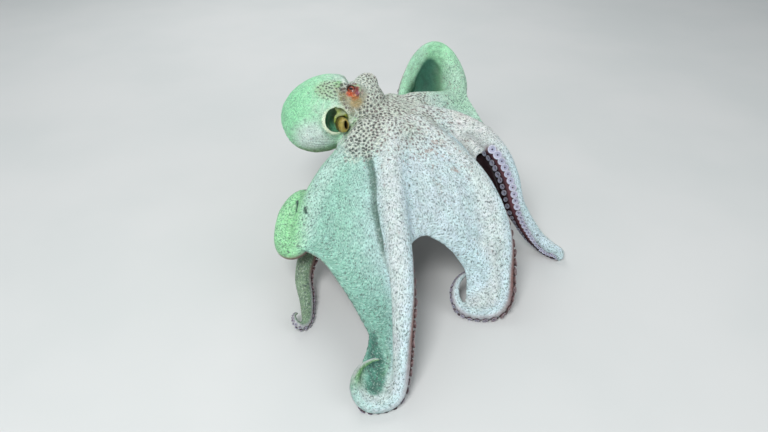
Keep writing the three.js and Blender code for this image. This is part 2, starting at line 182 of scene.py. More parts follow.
def spline(points, count):
    """`count` + 1 points spread evenly by length along the same Catmull-Rom curve as the solids'."""
    pts = np.array(points, float)
    ext = np.vstack([2 * pts[0] - pts[1], pts, 2 * pts[-1] - pts[-2]])
    t = np.linspace(0, len(pts) - 1, 60 * (len(pts) - 1) + 1)
    i = np.minimum(t.astype(int), len(pts) - 2)
    w = (t - i)[:, None]
    p0, p1, p2, p3 = ext[i], ext[i + 1], ext[i + 2], ext[i + 3]
    t0, t1 = 0.5 * (p2 - p0), 0.5 * (p3 - p1)
    dense = p1 + t0 * w + (3 * (p2 - p1) - 2 * t0 - t1) * w**2 + (2 * (p1 - p2) + t0 + t1) * w**3
    run = np.r_[0, np.cumsum(np.linalg.norm(np.diff(dense, axis=0), axis=1))]
    if count is None:
        count = int(run[-1] // SAMPLE_STEP)
    at = np.linspace(0, run[-1], count + 1)
    return np.column_stack([np.interp(at, run, dense[:, k]) for k in range(3)])


def arm_radius(f):
    """An arm's radius at a share f of its length, as the solids have it."""
    return ARM_TIP_RADIUS + (ARM_BASE_RADIUS - ARM_TIP_RADIUS) * (1 - f**2) ** 0.8


def evened(points, reach):
    """Each point as the mean of its neighbours within reach, with fewer of them near the ends."""
    out = points.copy()
    n = len(points)
    for i in range(n):
        side = min(reach, i, n - 1 - i)
        out[i] = points[i - side:i + side + 1].mean(0)
    return out


class Arm:
    """The centreline of an arm, with the direction of its smooth side and its radius at each sample."""

    def __init__(self, path, backs, curl, shown=1):
        course = spline(path, None)
        steps = len(course) - 1
        heading = unit(course[-1] - course[-2])
        length, turn, drift, tighten = curl
        back = V(*backs[-1])
        back = unit(back - heading * (back @ heading))
        side = np.cross(heading, back)
        hints = np.array([unit(V(*b)) for b in backs[:-1]] + [back])
        x = np.arange(steps) / steps * (len(hints) - 1)
        i = np.minimum(x.astype(int), len(hints) - 2)
        normals = list(lerp(hints[i], hints[i + 1], smoothstep(0, 1, x - i)[:, None]))
        points = list(course[:-1])
        end = course[-1].copy()
        turns = int(length // SAMPLE_STEP)
        for k in range(turns):
            a = math.radians(turn) * ((k + 0.5) / turns) ** tighten
            points.append(end.copy())
            normals.append(-math.sin(a) * heading + math.cos(a) * back)
            end += SAMPLE_STEP * (math.cos(a) * heading + math.sin(a) * back) + side * drift / turns
        n = len(points)
        self.p = evened(np.array(points), 7)
        self.f = np.arange(n) / (n - 1)
        self.r = arm_radius(shown * self.f)
        if shown < 1:
            left = np.minimum((n - 1 - np.arange(n)) * SAMPLE_STEP / arm_radius(shown), 1)
            self.r *= np.sqrt(0.06 + 0.94 * (1 - (1 - left) ** 2))
        lowest = ARM_SOLE_FLATNESS * self.r - FLOOR_PRESS
        self.p[:, 2] = 0.5 * (self.p[:, 2] + lowest + np.hypot(self.p[:, 2] - lowest, 3))
        self.t = unit(self.p[np.minimum(np.arange(n) + 1, n - 1)] - self.p[np.maximum(np.arange(n) - 1, 0)])
        normals = np.array(normals)
        self.n = unit(normals - self.t * dot(normals, self.t)[:, None])
        self.s = np.r_[0, np.cumsum(np.linalg.norm(np.diff(self.p, axis=0), axis=1))]
        self.b = np.cross(self.t, self.n)

    def at(self, f, values=None):
        """The centreline, or another of its columns, at shares f of its length."""
        values = self.p if values is None else values
        x = np.asarray(f, float) * (len(self.p) - 1)
        steps = np.arange(len(self.p))
        return np.stack([np.interp(x, steps, column) for column in values.T], -1)


arms = {name: Arm(**arm) for name, arm in ARMS.items()}

# ---- closed surfaces, each as points, quads and triangles ----
NO_TRIANGLES = np.zeros((0, 3), int)


def angles(sides):
    """Evenly spread angles once round."""
    return np.arange(sides) / sides * 2 * math.pi


def circle(a, first, second):
    """Directions at angles a from one axis towards another, for a pair of axes or for rows of them."""
    return np.cos(a)[:, None] * first[..., None, :] + np.sin(a)[:, None] * second[..., None, :]


def tube(rings):
    """A closed surface through rings of points, of one count, with a fan at each end."""
    rings = np.asarray(rings, float)
    n, m = rings.shape[:2]
    pts = np.vstack([rings.reshape(-1, 3), rings[0].mean(0), rings[-1].mean(0)])
    i, k = np.meshgrid(np.arange(n - 1), np.arange(m), indexing="ij")
    a, b = i * m + k, i * m + (k + 1) % m
    quads = np.stack([a, b, b + m, a + m], -1).reshape(-1, 4)
    k = np.arange(m)
    low = np.column_stack([(k + 1) % m, k, np.full(m, n * m)])
    top = (n - 1) * m
    high = np.column_stack([top + k, top + (k + 1) % m, np.full(m, n * m + 1)])
    return pts, quads, np.vstack([low, high])


def slab(rows, thickness):
    """A closed sheet of a given thickness, which may differ from point to point, round a grid of points."""
    half = unit(np.cross(np.gradient(rows, axis=0), np.gradient(rows, axis=1))) * thickness[..., None] / 2
    n, m = rows.shape[:2]
    pts = np.vstack([(rows + half).reshape(-1, 3), (rows - half).reshape(-1, 3)])
    i, j = np.meshgrid(np.arange(n - 1), np.arange(m - 1), indexing="ij")
    a = (i * m + j).ravel()
    top = np.column_stack([a, a + m, a + m + 1, a + 1])
    edge = [(i, 0) for i in range(n - 1)] + [(n - 1, j) for j in range(m - 1)]
    edge += [(i, m - 1) for i in range(n - 1, 0, -1)] + [(0, j) for j in range(m - 1, 0, -1)]
    e = np.array([i * m + j for i, j in edge])
    f = np.roll(e, -1)
    side = np.column_stack([e, e + n * m, f + n * m, f])
    return pts, np.vstack([top, top[:, ::-1] + n * m, side]), NO_TRIANGLES


def arm_rings(arm, sides=28):
    """Round sections on the smooth side, flatter on the sucker side, with a rounded tip."""
    a = angles(sides)
    depth = np.where(np.cos(a) > 0, 1, lerp(1, ARM_SOLE_FLATNESS, np.abs(np.cos(a))))
    across, up = np.sin(a), np.cos(a) * depth
    reach = 4
    n = len(arm.p)
    lo, hi = np.maximum(np.arange(n) - reach, 0), np.minimum(np.arange(n) + reach, n - 1)
    inward = arm.t[hi] - arm.t[lo]
    bend = np.linalg.norm(inward, axis=1, keepdims=True)
    radius_of_bend = ((hi - lo) * SAMPLE_STEP)[:, None] / np.maximum(bend, 1e-6)
    inward = inward / np.maximum(bend, 1e-6)
    off = arm.n[:, None] * up[None, :, None] + arm.b[:, None] * across[None, :, None]
    off = off * arm.r[:, None, None]
    excess = np.einsum("ijk,ik->ij", off, inward) - 0.75 * radius_of_bend
    off -= np.maximum(excess, 0)[..., None] * inward[:, None]
    rings = arm.p[:, None] + off
    caps = [arm.p[-1] + arm.t[-1] * arm.r[-1] * e + (rings[-1] - arm.p[-1]) * math.sqrt(1 - e * e)
            for e in (0.6, 0.9)]
    return np.concatenate([rings, np.array(caps)])


def root_start(arm):
    """The way out from the mouth to an arm, and the place beside the mouth where the arm's root starts."""
    out = unit((arm.p[0] - CROWN_CENTRE) * V(1, 1, 0))
    return out, MOUTH + out * ROOT_OUT + UP * ROOT_RISE


def root_rings(arm, sides=28):
    """The arm's root under the crown, from beside the mouth out to the arm's first section."""
    a = angles(sides)
    _, start = root_start(arm)
    rings = []
    for t in np.linspace(0, 1, 14):
        centre = lerp(start, arm.p[3], t)
        ahead = unit(lerp(unit(arm.p[3] - start), arm.t[3], t))
        up = unit(UP - ahead * (UP @ ahead))
        side = np.cross(ahead, up)
        r = lerp(ROOT_RADIUS, arm.r[3], smoothstep(0, 0.9, t))
        rings.append(centre + r * (np.cos(a)[:, None] * up * 0.85 + np.sin(a)[:, None] * side))
    return np.array(rings)


ROOT_LIFT = 0.6  # webs start this many radii up beside the crown, so that the arms' roots merge in one dome
# hollows in the webs: centre, reach and push
POCKETS = [
    ((68, 158, 200), 30, (0, 14, 0)),
    ((80, 115, 190), 40, (0, 8, -34)),
    ((-5, -380, 42), 20, (0, 9, -6)),
]


def web_rows(names, reach, edge, lift, lag, across=26, along=44):
    """The web's middle surface: a patch between two arms, the crown and the free edge."""
    first, second = (arms[n] for n in names)
    v = np.linspace(0, 1, along + 1)

    def side(arm, to, up, power):
        f = to * v**power
        height = lerp(ROOT_LIFT, up, smoothstep(0, 0.36, f))[:, None]
        return arm.at(f) + arm.at(f, arm.n) * arm.at(f, arm.r[:, None]) * height

    left, right = side(first, reach[0], lift[0], lag), side(second, reach[1], lift[1], 1)
    if not edge:
        edge = [lerp(lerp(left[-1], right[-1], 0.5), lerp(left[0], right[0], 0.5), EDGE_PULL)]
    rim = spline([left[-1], *edge, right[-1]], across)
    u = np.linspace(0, 1, across + 1)[:, None]
    rows = lerp(left[None], right[None], u[:, None])
    rows = rows + (rim - lerp(left[-1], right[-1], u))[:, None] * v[None, :, None]
    for centre, size, push in POCKETS:
        near = np.exp(-np.sum((rows - V(*centre)) ** 2, -1, keepdims=True) / size**2)
        rows = rows + near * V(*push) * (4 * u * (1 - u))[:, None]
    return rows


def lathe(profile, base, axis, sides=64):
    """A closed surface of revolution through (radius, height) pairs, round an axis from base."""
    axis = unit(axis)
    u = unit(np.cross(axis, V(0.13, 0.2, 0.97)))
    spokes = circle(angles(sides), u, np.cross(axis, u))
    return tube([base + axis * h + r * spokes for r, h in profile])


# ---- the skin as one distance field ----
VOXEL = 1.5
BAND = 14.0  # how far distances are known on both sides of a surface
LOW = V(-180, -448, -8)
HIGH = V(312, 334, 270)
SHAPE = np.ceil((HIGH - LOW) / VOXEL).astype(int)
ORIGIN = np.floor(LOW / VOXEL).astype(int)
TRANSFORM = openvdb.createLinearTransform(voxelSize=VOXEL)


def distance(surface):
    """(slices of the grid, signed distances there) for a closed surface."""
    pts, quads, tris = surface
    grid = openvdb.FloatGrid.createLevelSetFromPolygons(
        points=pts.astype(np.float32), quads=quads.astype(np.uint32), triangles=tris.astype(np.uint32),
        transform=TRANSFORM, halfWidth=BAND / VOXEL)
    where = within(pts.min(0), pts.max(0))
    block = np.empty([s.stop - s.start for s in where], np.float32)
    grid.copyToArray(block, ijk=tuple(int(s.start + o) for s, o in zip(where, ORIGIN)))
    return where, block


def banded(values):
    """Distances held to the band."""
    return np.clip(values, -BAND, BAND)


def smooth_min(a, b, k):
    """The nearer of two fields, with a fillet of size k where they meet."""
    h = np.clip(0.5 + 0.5 * (b - a) / k, 0, 1)
    out = b + (a - b) * h - k * h * (1 - h)
    return np.where(np.minimum(a, b) >= BAND - 1e-3, BAND, out).astype(np.float32)


def smooth_max(a, b, k):
    """What two fields share, with a rounding of size k where they meet."""
    return -smooth_min(-a, -b, k)


def grid_points(where):
    """The places of a block's grid points, as three arrays that broadcast."""
    axes = [(np.arange(s.start, s.stop) + o) * VOXEL for s, o in zip(where, ORIGIN)]
    return np.meshgrid(*axes, indexing="ij", sparse=True)


def within(low, high):
    """The slices of the grid between two corners, with the band round them."""
    lo = np.maximum(np.floor((low - BAND) / VOXEL).astype(int) - ORIGIN, 0)
    hi = np.minimum(np.ceil((high + BAND) / VOXEL).astype(int) - ORIGIN, SHAPE)
    return tuple(slice(a, b) for a, b in zip(lo, hi))


def around(centre, reach):
    return within(centre - reach, centre + reach)


def frame_of(x_to):
    """Rows are the local axes: x_to, then across, then as near to up as can be."""
    x = unit(x_to)
    y = unit(np.cross(UP, x))
    return np.array([x, y, np.cross(x, y)])


def local(points, centre, axes):
    """Places measured along three axes from a centre."""
    x, y, z = (p - c for p, c in zip(points, centre))
    return [x * a[0] + y * a[1] + z * a[2] for a in axes]


def ellipsoid(points, centre, halves, axes=np.eye(3)):
    """Near enough the distance to an ellipsoid, held to the band."""
    q = local(points, centre, axes)
    near = np.sqrt(sum((c / h) ** 2 for c, h in zip(q, halves)))
    steep = np.sqrt(sum((c / h**2) ** 2 for c, h in zip(q, halves)))
    return banded(near * (near - 1) / np.maximum(steep, 1e-6))


def away(points, centre):
    """Distances from a centre, for places in three arrays."""
    return np.sqrt(sum((p - c) ** 2 for p, c in zip(points, centre)))


def join(field, piece, k):
    """Adds a piece with a fillet of size k, which may be worked out from the place."""
    where, block = piece
    size = k(grid_points(where)) if callable(k) else k
    field[where] = smooth_min(field[where], block, size)


def eye_centre(side):
    return HEAD_CENTRE + RIGHTWARD * 25 * side + V(-2, 0, 20)


def gaze(side):
    """Where an eye looks: out to its side and up, the right one more, and a little back."""
    return unit(RIGHTWARD * (0.6 if side > 0 else -0.85) - LOOK * 0.15 + UP * (0.8 if side > 0 else 0.35))


EYE_SLIT = V(7.4, 5.4)  # half-width and half-height of the opening between the lids


def eye_frame(side):
    """Rows are the gaze, along the slit, and across it."""
    return frame_of(gaze(side))


# the low dome in which the front arms' roots merge
DOME_CENTRE = V(18, -22, 168)
DOME_HALVES = V(72, 70, 33)
# a low swelling along the second right arm, on the side where the web tucks in under it
SHOULDER = [(-6, -62, 184), (-3, -113, 167), (0, -160, 154), (3, -190, 143), (11, -240, 119), (20, -278, 105)]


def arms_and_webs():
    """The field of the arms, their roots, the webs and the crown."""
    field = np.full(SHAPE, BAND, np.float32)
    crown_k = lambda q: lerp(12, 2, smoothstep(50, 130, away(q, CROWN_CENTRE)))
    web_k = lambda q: lerp(16, WEB_FILLET, smoothstep(60, 190, away(q, CROWN_CENTRE)))
    for arm in arms.values():
        join(field, distance(tube(arm_rings(arm))), crown_k)
        join(field, distance(tube(root_rings(arm))), 5)
    join(field, distance(tube(bead_rings(SHOULDER, 12))), 12)
    for web in WEBS:
        rows = web_rows(*web)
        u = np.linspace(0, 1, rows.shape[0])[:, None]
        thickness = lerp(WEB_THICKNESS, WEB_THICKNESS * 1.9, (2 * u - 1) ** 4) * np.ones(rows.shape[1])
        join(field, distance(slab(rows, thickness)), web_k)
    join(field, distance(slab(*lobe_sheet())), 9)
    # the fold behind the gap between the first arms, put there to carry painted shade
    join(field, distance(slab(*shade_curtain())), 4)
    where = around(CROWN_CENTRE, CROWN_HALVES)
    join(field, (where, ellipsoid(grid_points(where), CROWN_CENTRE, CROWN_HALVES)), 18)
    where = around(DOME_CENTRE, DOME_HALVES)
    join(field, (where, ellipsoid(grid_points(where), DOME_CENTRE, DOME_HALVES)), 12)
    return field


def lobe_sheet():
    """The skin that fills the loop of the third right arm, with its thickness."""
    arm = arms["r3"]
    v = np.linspace(0, 1, 24)
    out, back = lerp(0.52, 0.3, v), lerp(0.57, 0.8, v)
    lifted = [arm.at(f) + UP * arm.at(f, arm.r[:, None]) * 0.35 for f in (out, back)]
    rows = lerp(lifted[0][None], lifted[1][None], np.linspace(0, 1, 20)[:, None, None])
    return rows, np.full(rows.shape[:2], 7.0)


def shade_curtain():
    """A fold of web behind the gap between the first arms, put there to carry near-black painted shade, with
    its thickness.
    """
    left, right = arms["l1"], arms["r1"]
    v = np.linspace(0, 1, 30)
    f, g = lerp(0.27, 0.6, v), lerp(0.22, 0.6, v)
    start = left.at(f) + (left.at(f, left.n) * 0.3 - left.at(f, left.b) * 0.85) * left.at(f, left.r[:, None])
    end = right.at(g) + V(0.1, 0.85, -0.45) * right.at(g, right.r[:, None])
    u = np.linspace(0, 1, 20)[:, None, None]
    rows = lerp(start[None], end[None], u) + V(0, 14, -8) * (4 * u * (1 - u))
    return rows, np.full(rows.shape[:2], 3.4)


# slits in the skin of the third right arm's loop
LOBE_SLITS = [
    [(-125, -137, 118), (-124, -149, 117), (-124, -161, 115)],
    [(-109, -170, 128), (-107, -177, 124)],
]


def mantle_profile():
    """The mantle's (radius, height) pairs, from the neck to the apex."""
    length = np.linalg.norm(MANTLE_APEX - MANTLE_NECK)
    t = np.linspace(0, 1, 41)
    bulge = np.sqrt(np.maximum(0, 1 - (np.abs(t - 0.45) / 0.56) ** 2.1))
    bulge[0] = bulge[-1] = 0
    return [(max(MANTLE_RADIUS * b, 0.01), (x - 0.02) * length) for x, b in zip(t, bulge)]


CAVITY_HALVES = V(30, 20, 21)
CAVITY_AXES = frame_of(APERTURE_FACING)


def sampled(block, where, points):
    """The field's values at any points of a block, between its grid points."""
    x = points / VOXEL - ORIGIN - np.array([s.start for s in where])
    i = np.clip(np.floor(x).astype(int), 0, np.array(block.shape) - 2)
    w = np.clip(x - i, 0, 1)
    total = 0
    for c in np.ndindex(2, 2, 2):
        share = np.prod(np.where(c, w, 1 - w), axis=1)
        total = total + share * block[i[:, 0] + c[0], i[:, 1] + c[1], i[:, 2] + c[2]]
    return total


def opening_edge(where, mantle):
    """The line where the mantle's opening meets its outside, once round."""
    around_it = np.linspace(0, 2 * math.pi, 97)[:-1]
    edge = []
    for a in around_it:
        t = np.linspace(0.05, 2.2, 120)[:, None]
        ring = np.cos(t) * CAVITY_AXES[0] * CAVITY_HALVES[0] + np.sin(t) * (
            math.cos(a) * CAVITY_AXES[1] * CAVITY_HALVES[1] + math.sin(a) * CAVITY_AXES[2] * CAVITY_HALVES[2])
        values = sampled(mantle, where, APERTURE + ring)
        inside = np.nonzero(values < 0)[0]
        edge.append(APERTURE + ring[inside[0] if len(inside) else np.argmin(values)])
    return around_it, evened(np.array(edge * 3), 3)[len(edge):2 * len(edge)]


# folds inside the opening, as points measured out of it, across it and up
OPENING_FOLDS = [[(-7, 0, -6), (-6, 2.4, 2.2), (-6, 6.5, 5.2), (-5, 12, 5.4), (-2, 20, 3.6)],
                 [(-8, 5, 20), (-8, 7, 15.5), (-7, 10, 11.5), (-7, 13.5, 8)]]
HEAD_HALVES = V(36, 33, 30)
HEAD_REACH = V(50, 60, 50)
# each eye's mound: how far inwards of the eye it lies, and its half-sizes
EYE_MOUNDS = {1: (2.5, V(16.5, 16.5, 15)), -1: (5, V(19, 18, 16.5))}


def body_field():
    """The field of the whole skin, and the edge of the mantle's opening."""
    field = arms_and_webs()
    mantle_at, mantle = distance(lathe(mantle_profile(), MANTLE_NECK, MANTLE_APEX - MANTLE_NECK))
    head_at = around(HEAD_CENTRE, HEAD_REACH)
    where = tuple(slice(m.start, max(m.stop, h.stop)) for m, h in zip(mantle_at, head_at))
    q = grid_points(where)
    body = np.full([s.stop - s.start for s in where], BAND, np.float32)
    body = smooth_min(body, ellipsoid(q, HEAD_CENTRE, HEAD_HALVES, frame_of(LOOK)), 1)
    for side, (inward, halves) in EYE_MOUNDS.items():
        centre = eye_centre(side) - RIGHTWARD * inward * side - UP * 1.5
        body = smooth_min(body, ellipsoid(q, centre, halves), 6)
    held = tuple(slice(0, n) for n in mantle.shape)
    body[held] = smooth_min(body[held], mantle, 9)
    cavity = ellipsoid(q, APERTURE, CAVITY_HALVES, CAVITY_AXES)
    near = lambda p: lerp(12, 2, smoothstep(38, 62, away(p, V(-6, 18, 204))))
    join(field, (where, body), near)
    field[where] = smooth_max(field[where], -cavity, 1.5)
    turn, edge = opening_edge(mantle_at, mantle)
    rim_where, rim = distance(ring_tube(edge, rim_thickness(turn)))
    field[rim_where] = smooth_min(field[rim_where], rim, 1.6)
    for fold in OPENING_FOLDS:
        join(field, distance(tube(bead_rings(APERTURE + V(*fold) @ CAVITY_AXES, 2.8))), 6)
    for side in (1, -1):
        open_eye(field, side)
    for line in LOBE_SLITS:
        slit_where, slit = distance(tube(bead_rings(V(*line), 1.9)))
        field[slit_where] = smooth_max(field[slit_where], -slit, 1.5)
    z = grid_points(within(LOW, HIGH))[2]
    return np.maximum(field, -z.astype(np.float32)), edge


def bead_rings(line, radius, sides=10):
    """Round sections along a short smooth line, closing at both ends."""
    line = spline(line, 48)
    ahead = unit(np.gradient(line, axis=0))
    side = unit(np.cross(ahead, V(0.31, 0.2, 0.93)))
    size = radius * np.sin(np.linspace(0.2, math.pi - 0.2, len(line))) ** 0.4
    return line[:, None] + circle(angles(sides), np.cross(side, ahead), side) * size[:, None, None]


RIM_RADIUS = 2.2
RIM_FROM = math.radians(205)  # where round the opening the rim is thickest


def rim_thickness(turn):
    """The rim is thick on the side away from the head and thin where it meets the head."""
    return RIM_RADIUS * np.clip(0.35 + 0.9 * np.cos(turn - RIM_FROM), 0.3, 1)


def ring_tube(line, radii, sides=10):
    """A closed ring of round section along a closed line."""
    n = len(line)
    ahead = unit(np.roll(line, -1, 0) - np.roll(line, 1, 0))
    side = unit(np.cross(ahead, unit(line - line.mean(0))))
    rings = line[:, None] + radii[:, None, None] * circle(angles(sides), np.cross(side, ahead), side)
    i, k = np.meshgrid(np.arange(n), np.arange(sides), indexing="ij")
    j, l = (i + 1) % n, (k + 1) % sides
    quads = np.stack([i * sides + k, i * sides + l, j * sides + l, j * sides + k], -1).reshape(-1, 4)
    return rings.reshape(-1, 3), quads, NO_TRIANGLES


def open_eye(field, side):
    """Lids round the eyeball: a slot for the ball, an opening on its axis and a fold round it, with a second
    fold round the near eye.
    """
    centre, axes = eye_centre(side), eye_frame(side)
    where = around(centre, V(1, 1, 1) * (EYE_RADIUS + 4))
    q = grid_points(where)
    block = field[where]
    g, a, b = local(q, centre, axes)
    ball = away(q, centre) - (EYE_RADIUS + 0.15)
    round_it = np.sqrt((a / EYE_SLIT[0]) ** 2 + (b / EYE_SLIT[1]) ** 2)
    cone = np.maximum((round_it - 1) * EYE_SLIT[1], 2 - g)
    front = math.sqrt(EYE_RADIUS**2 - EYE_SLIT.mean() ** 2)
    lid = np.hypot(cone - 1.1, g - front - 0.9) - 1.7
    block = smooth_min(block, banded(lid), 2.4)
    if side > 0:
        outer = np.hypot((round_it - 1) * EYE_SLIT[1] - 5.6, g - front + 2.4) - 1.3
        block = smooth_min(block, banded(outer), 3)
    block = smooth_max(block, -banded(cone), 1.0)
    block = np.maximum(block, -banded(ball))
    field[where] = block


# ---- the mesh of the skin, and what is known at each of its points ----


def skin_surface(field):
    """(points, quads) of the largest surface where the field is zero."""
    grid = openvdb.FloatGrid(BAND)
    grid.copyFromArray(field, ijk=tuple(int(x) for x in ORIGIN))
    grid.transform = TRANSFORM
    points, _, quads = grid.convertToPolygons(isovalue=0, adaptivity=0)
    points, quads = points.astype(float), quads.astype(int)
    a, b, c = (points[quads[:, i]] for i in (0, 1, 2))
    if np.sum(a * np.cross(b, c)) < 0:
        quads = quads[:, ::-1]
    links = edges_of(quads)
    label = np.arange(len(points))
    while True:
        low = label.copy()
        np.minimum.at(low, links[:, 0], label[links[:, 1]])
        np.minimum.at(low, links[:, 1], label[links[:, 0]])
        low = low[low]
        if np.array_equal(low, label):
            break
        label = low
    keep = label == np.bincount(label).argmax()
    fresh = np.cumsum(keep) - 1
    return points[keep], fresh[quads[keep[quads[:, 0]]]]


def edges_of(quads):
    """Each pair of points that an edge joins, once."""
    pairs = np.sort(np.vstack([quads[:, [i, (i + 1) % 4]] for i in range(4)]), axis=1)
    key = np.unique(pairs[:, 0] * (quads.max() + 1) + pairs[:, 1])
    return np.stack([key // (quads.max() + 1), key % (quads.max() + 1)], 1)


def averaged(values, links, rounds, amount=0.5, back=0.0):
    """Values drawn to their neighbours' mean, and pushed back a little so that the form keeps its size."""
    out = values.copy()
    n = len(out)
    both = np.vstack([links, links[:, ::-1]])
    count = np.bincount(both[:, 0], minlength=n)[:, None]
    for step in [s for _ in range(rounds) for s in (amount, -back) if s]:
        total = [np.bincount(both[:, 0], column[both[:, 1]], n) for column in out.T]
        out += step * (np.column_stack(total) / count - out)
    return out


def normals_of(points, quads):
    """The direction out of the surface at each point."""
    a, b, c, d = (points[quads[:, i]] for i in range(4))
    face = np.cross(c - a, d - b)
    out = np.zeros_like(points)
    for i in range(4):
        for k in range(3):
            out[:, k] += np.bincount(quads[:, i], face[:, k], len(points))
    return unit(out + 1e-12)


HASH_PRIMES = (73856093, 19349663, 83492791, 2654435761)
HASH_MIX = 1274126177
HASH_MASK = 0x7FFFFFFF


def hashed(cell, seed):
    """A number from 0 to 1 for each row of three whole numbers, the same on every run."""
    x, y, z = cell.T
    for_x, for_y, for_z, for_seed = HASH_PRIMES
    h = (x * for_x ^ y * for_y ^ z * for_z ^ (seed + 1) * for_seed) & HASH_MASK
    h = (h ^ (h >> 13)) * HASH_MIX & HASH_MASK
    return ((h ^ (h >> 16)) & 0xFFFF) / 65535


def grain(points, seed):
    """Smooth noise from -1 to 1 at places given in cells."""
    cell = np.floor(points).astype(np.int64)
    w = points - cell
    w = w * w * (3 - 2 * w)
    total = np.zeros(len(points))
    for c in np.ndindex(2, 2, 2):
        total += (2 * hashed(cell + c, seed) - 1) * np.prod(np.where(c, w, 1 - w), axis=1)
    return total


def octaves(points, count, seed):
    """Smooth noise from -1 to 1 in layers, each half as wide and half as strong as the last."""
    return sum(grain(points * 2.0**i, seed + i) * 0.5**i for i in range(count)) / (2 - 0.5 ** (count - 1))


class Guide:
    """Points of a known line or sheet, and for any place the nearest of them."""

    def __init__(self, points):
        self.tree = kdtree.KDTree(len(points))
        for i, p in enumerate(points):
            self.tree.insert(p, i)
        self.tree.balance()

    def nearest(self, places):
        found = [self.tree.find(p) for p in places]
        return np.array([f[1] for f in found]), np.array([f[2] for f in found])

    def several(self, places, count):
        return np.array([[f[1] for f in self.tree.find_n(p, count)] for p in places])


def scatter(points, spacing, chance, seed):
    """Which points to keep so that they lie at random, no closer than the spacing at each."""
    wanted = np.nonzero(chance > 0)[0]
    cell = np.floor(points[wanted] / (0.7 * spacing[wanted].min())).astype(np.int64)
    luck = hashed(np.round(points[wanted] * 7).astype(np.int64), seed)
    order = np.lexsort((luck, cell[:, 2], cell[:, 1], cell[:, 0]))
    first = np.r_[True, np.any(np.diff(cell[order], axis=0) != 0, axis=1)]
    chosen = order[first]
    chosen = wanted[chosen[np.argsort(luck[chosen])]]
    tree = Guide(points[chosen]).tree
    free = np.ones(len(chosen), bool)
    for i, p in enumerate(points[chosen]):
        if free[i]:
            for _, j, _ in tree.find_range(p, spacing[chosen[i]]):
                free[j] = free[j] and j <= i
    kept = chosen[free]
    return kept[hashed(np.round(points[kept] * 5).astype(np.int64), seed + 1) < chance[kept]]


def dots(points, where, centres, flow, radius, stretch, tone):
    """Distance to the nearest dot in radii, the margin to the next dot in mm, and the dot's tone."""
    share, margin, colour = np.full(len(points), 4.0), np.full(len(points), 9.0), np.zeros(len(points))
    near = Guide(points[centres]).several(points[where], 3)
    off = points[where][:, None] - points[centres][near]
    along = dot(off, flow[centres][near])
    flat = np.sqrt(np.maximum(dot(off, off) - along**2 * (1 - 1 / stretch[centres][near] ** 2), 0))
    order = np.argsort(flat, axis=1)
    rows = np.arange(len(flat))
    best, second = order[:, 0], order[:, 1]
    mine = centres[near[rows, best]]
    share[where] = np.minimum(flat[rows, best] / radius[mine], 4)
    margin[where] = flat[rows, second] - flat[rows, best]
    colour[where] = tone[mine]
    return share, margin, colour


LIE_APART = 300  # how far apart webs, and arms, lie in the flat coordinates of their markings
LIE_WEBS = 5000  # where the webs start in them, beyond the arms


def web_sheets():
    """For points over all the webs: places, the way the smooth side faces, flat coordinates with the web's
    number, and the ways along and across the web."""
    columns = []
    for number, web in enumerate(WEBS):
        names, reach, _, _, lag = web
        rows = web_rows(*web)
        face = unit(np.cross(np.gradient(rows, axis=0), np.gradient(rows, axis=1)))
        first, second = (arms[n] for n in names)
        v = np.linspace(0, 1, rows.shape[1])
        top = first.at(reach[0] * v**lag, first.n) + second.at(reach[1] * v, second.n)
        face *= np.sign(np.sum(face * top[None]))
        width = np.linalg.norm(rows[-1] - rows[0], axis=-1)
        u = np.linspace(-0.5, 0.5, rows.shape[0])[:, None]
        run = np.cumsum(np.linalg.norm(np.diff(rows, axis=1, prepend=rows[:, :1]), axis=-1), axis=1)
        flat = np.stack([u * width + number * LIE_APART, run, number * np.ones(rows.shape[:2])], -1)
        flow = unit(np.gradient(rows, axis=1) + 1e-9)
        side = unit(np.gradient(rows, axis=0) + 1e-9)
        columns.append(np.concatenate([rows, face, flat, flow, side], -1).reshape(-1, 15))
    return np.hsplit(np.vstack(columns), 5)


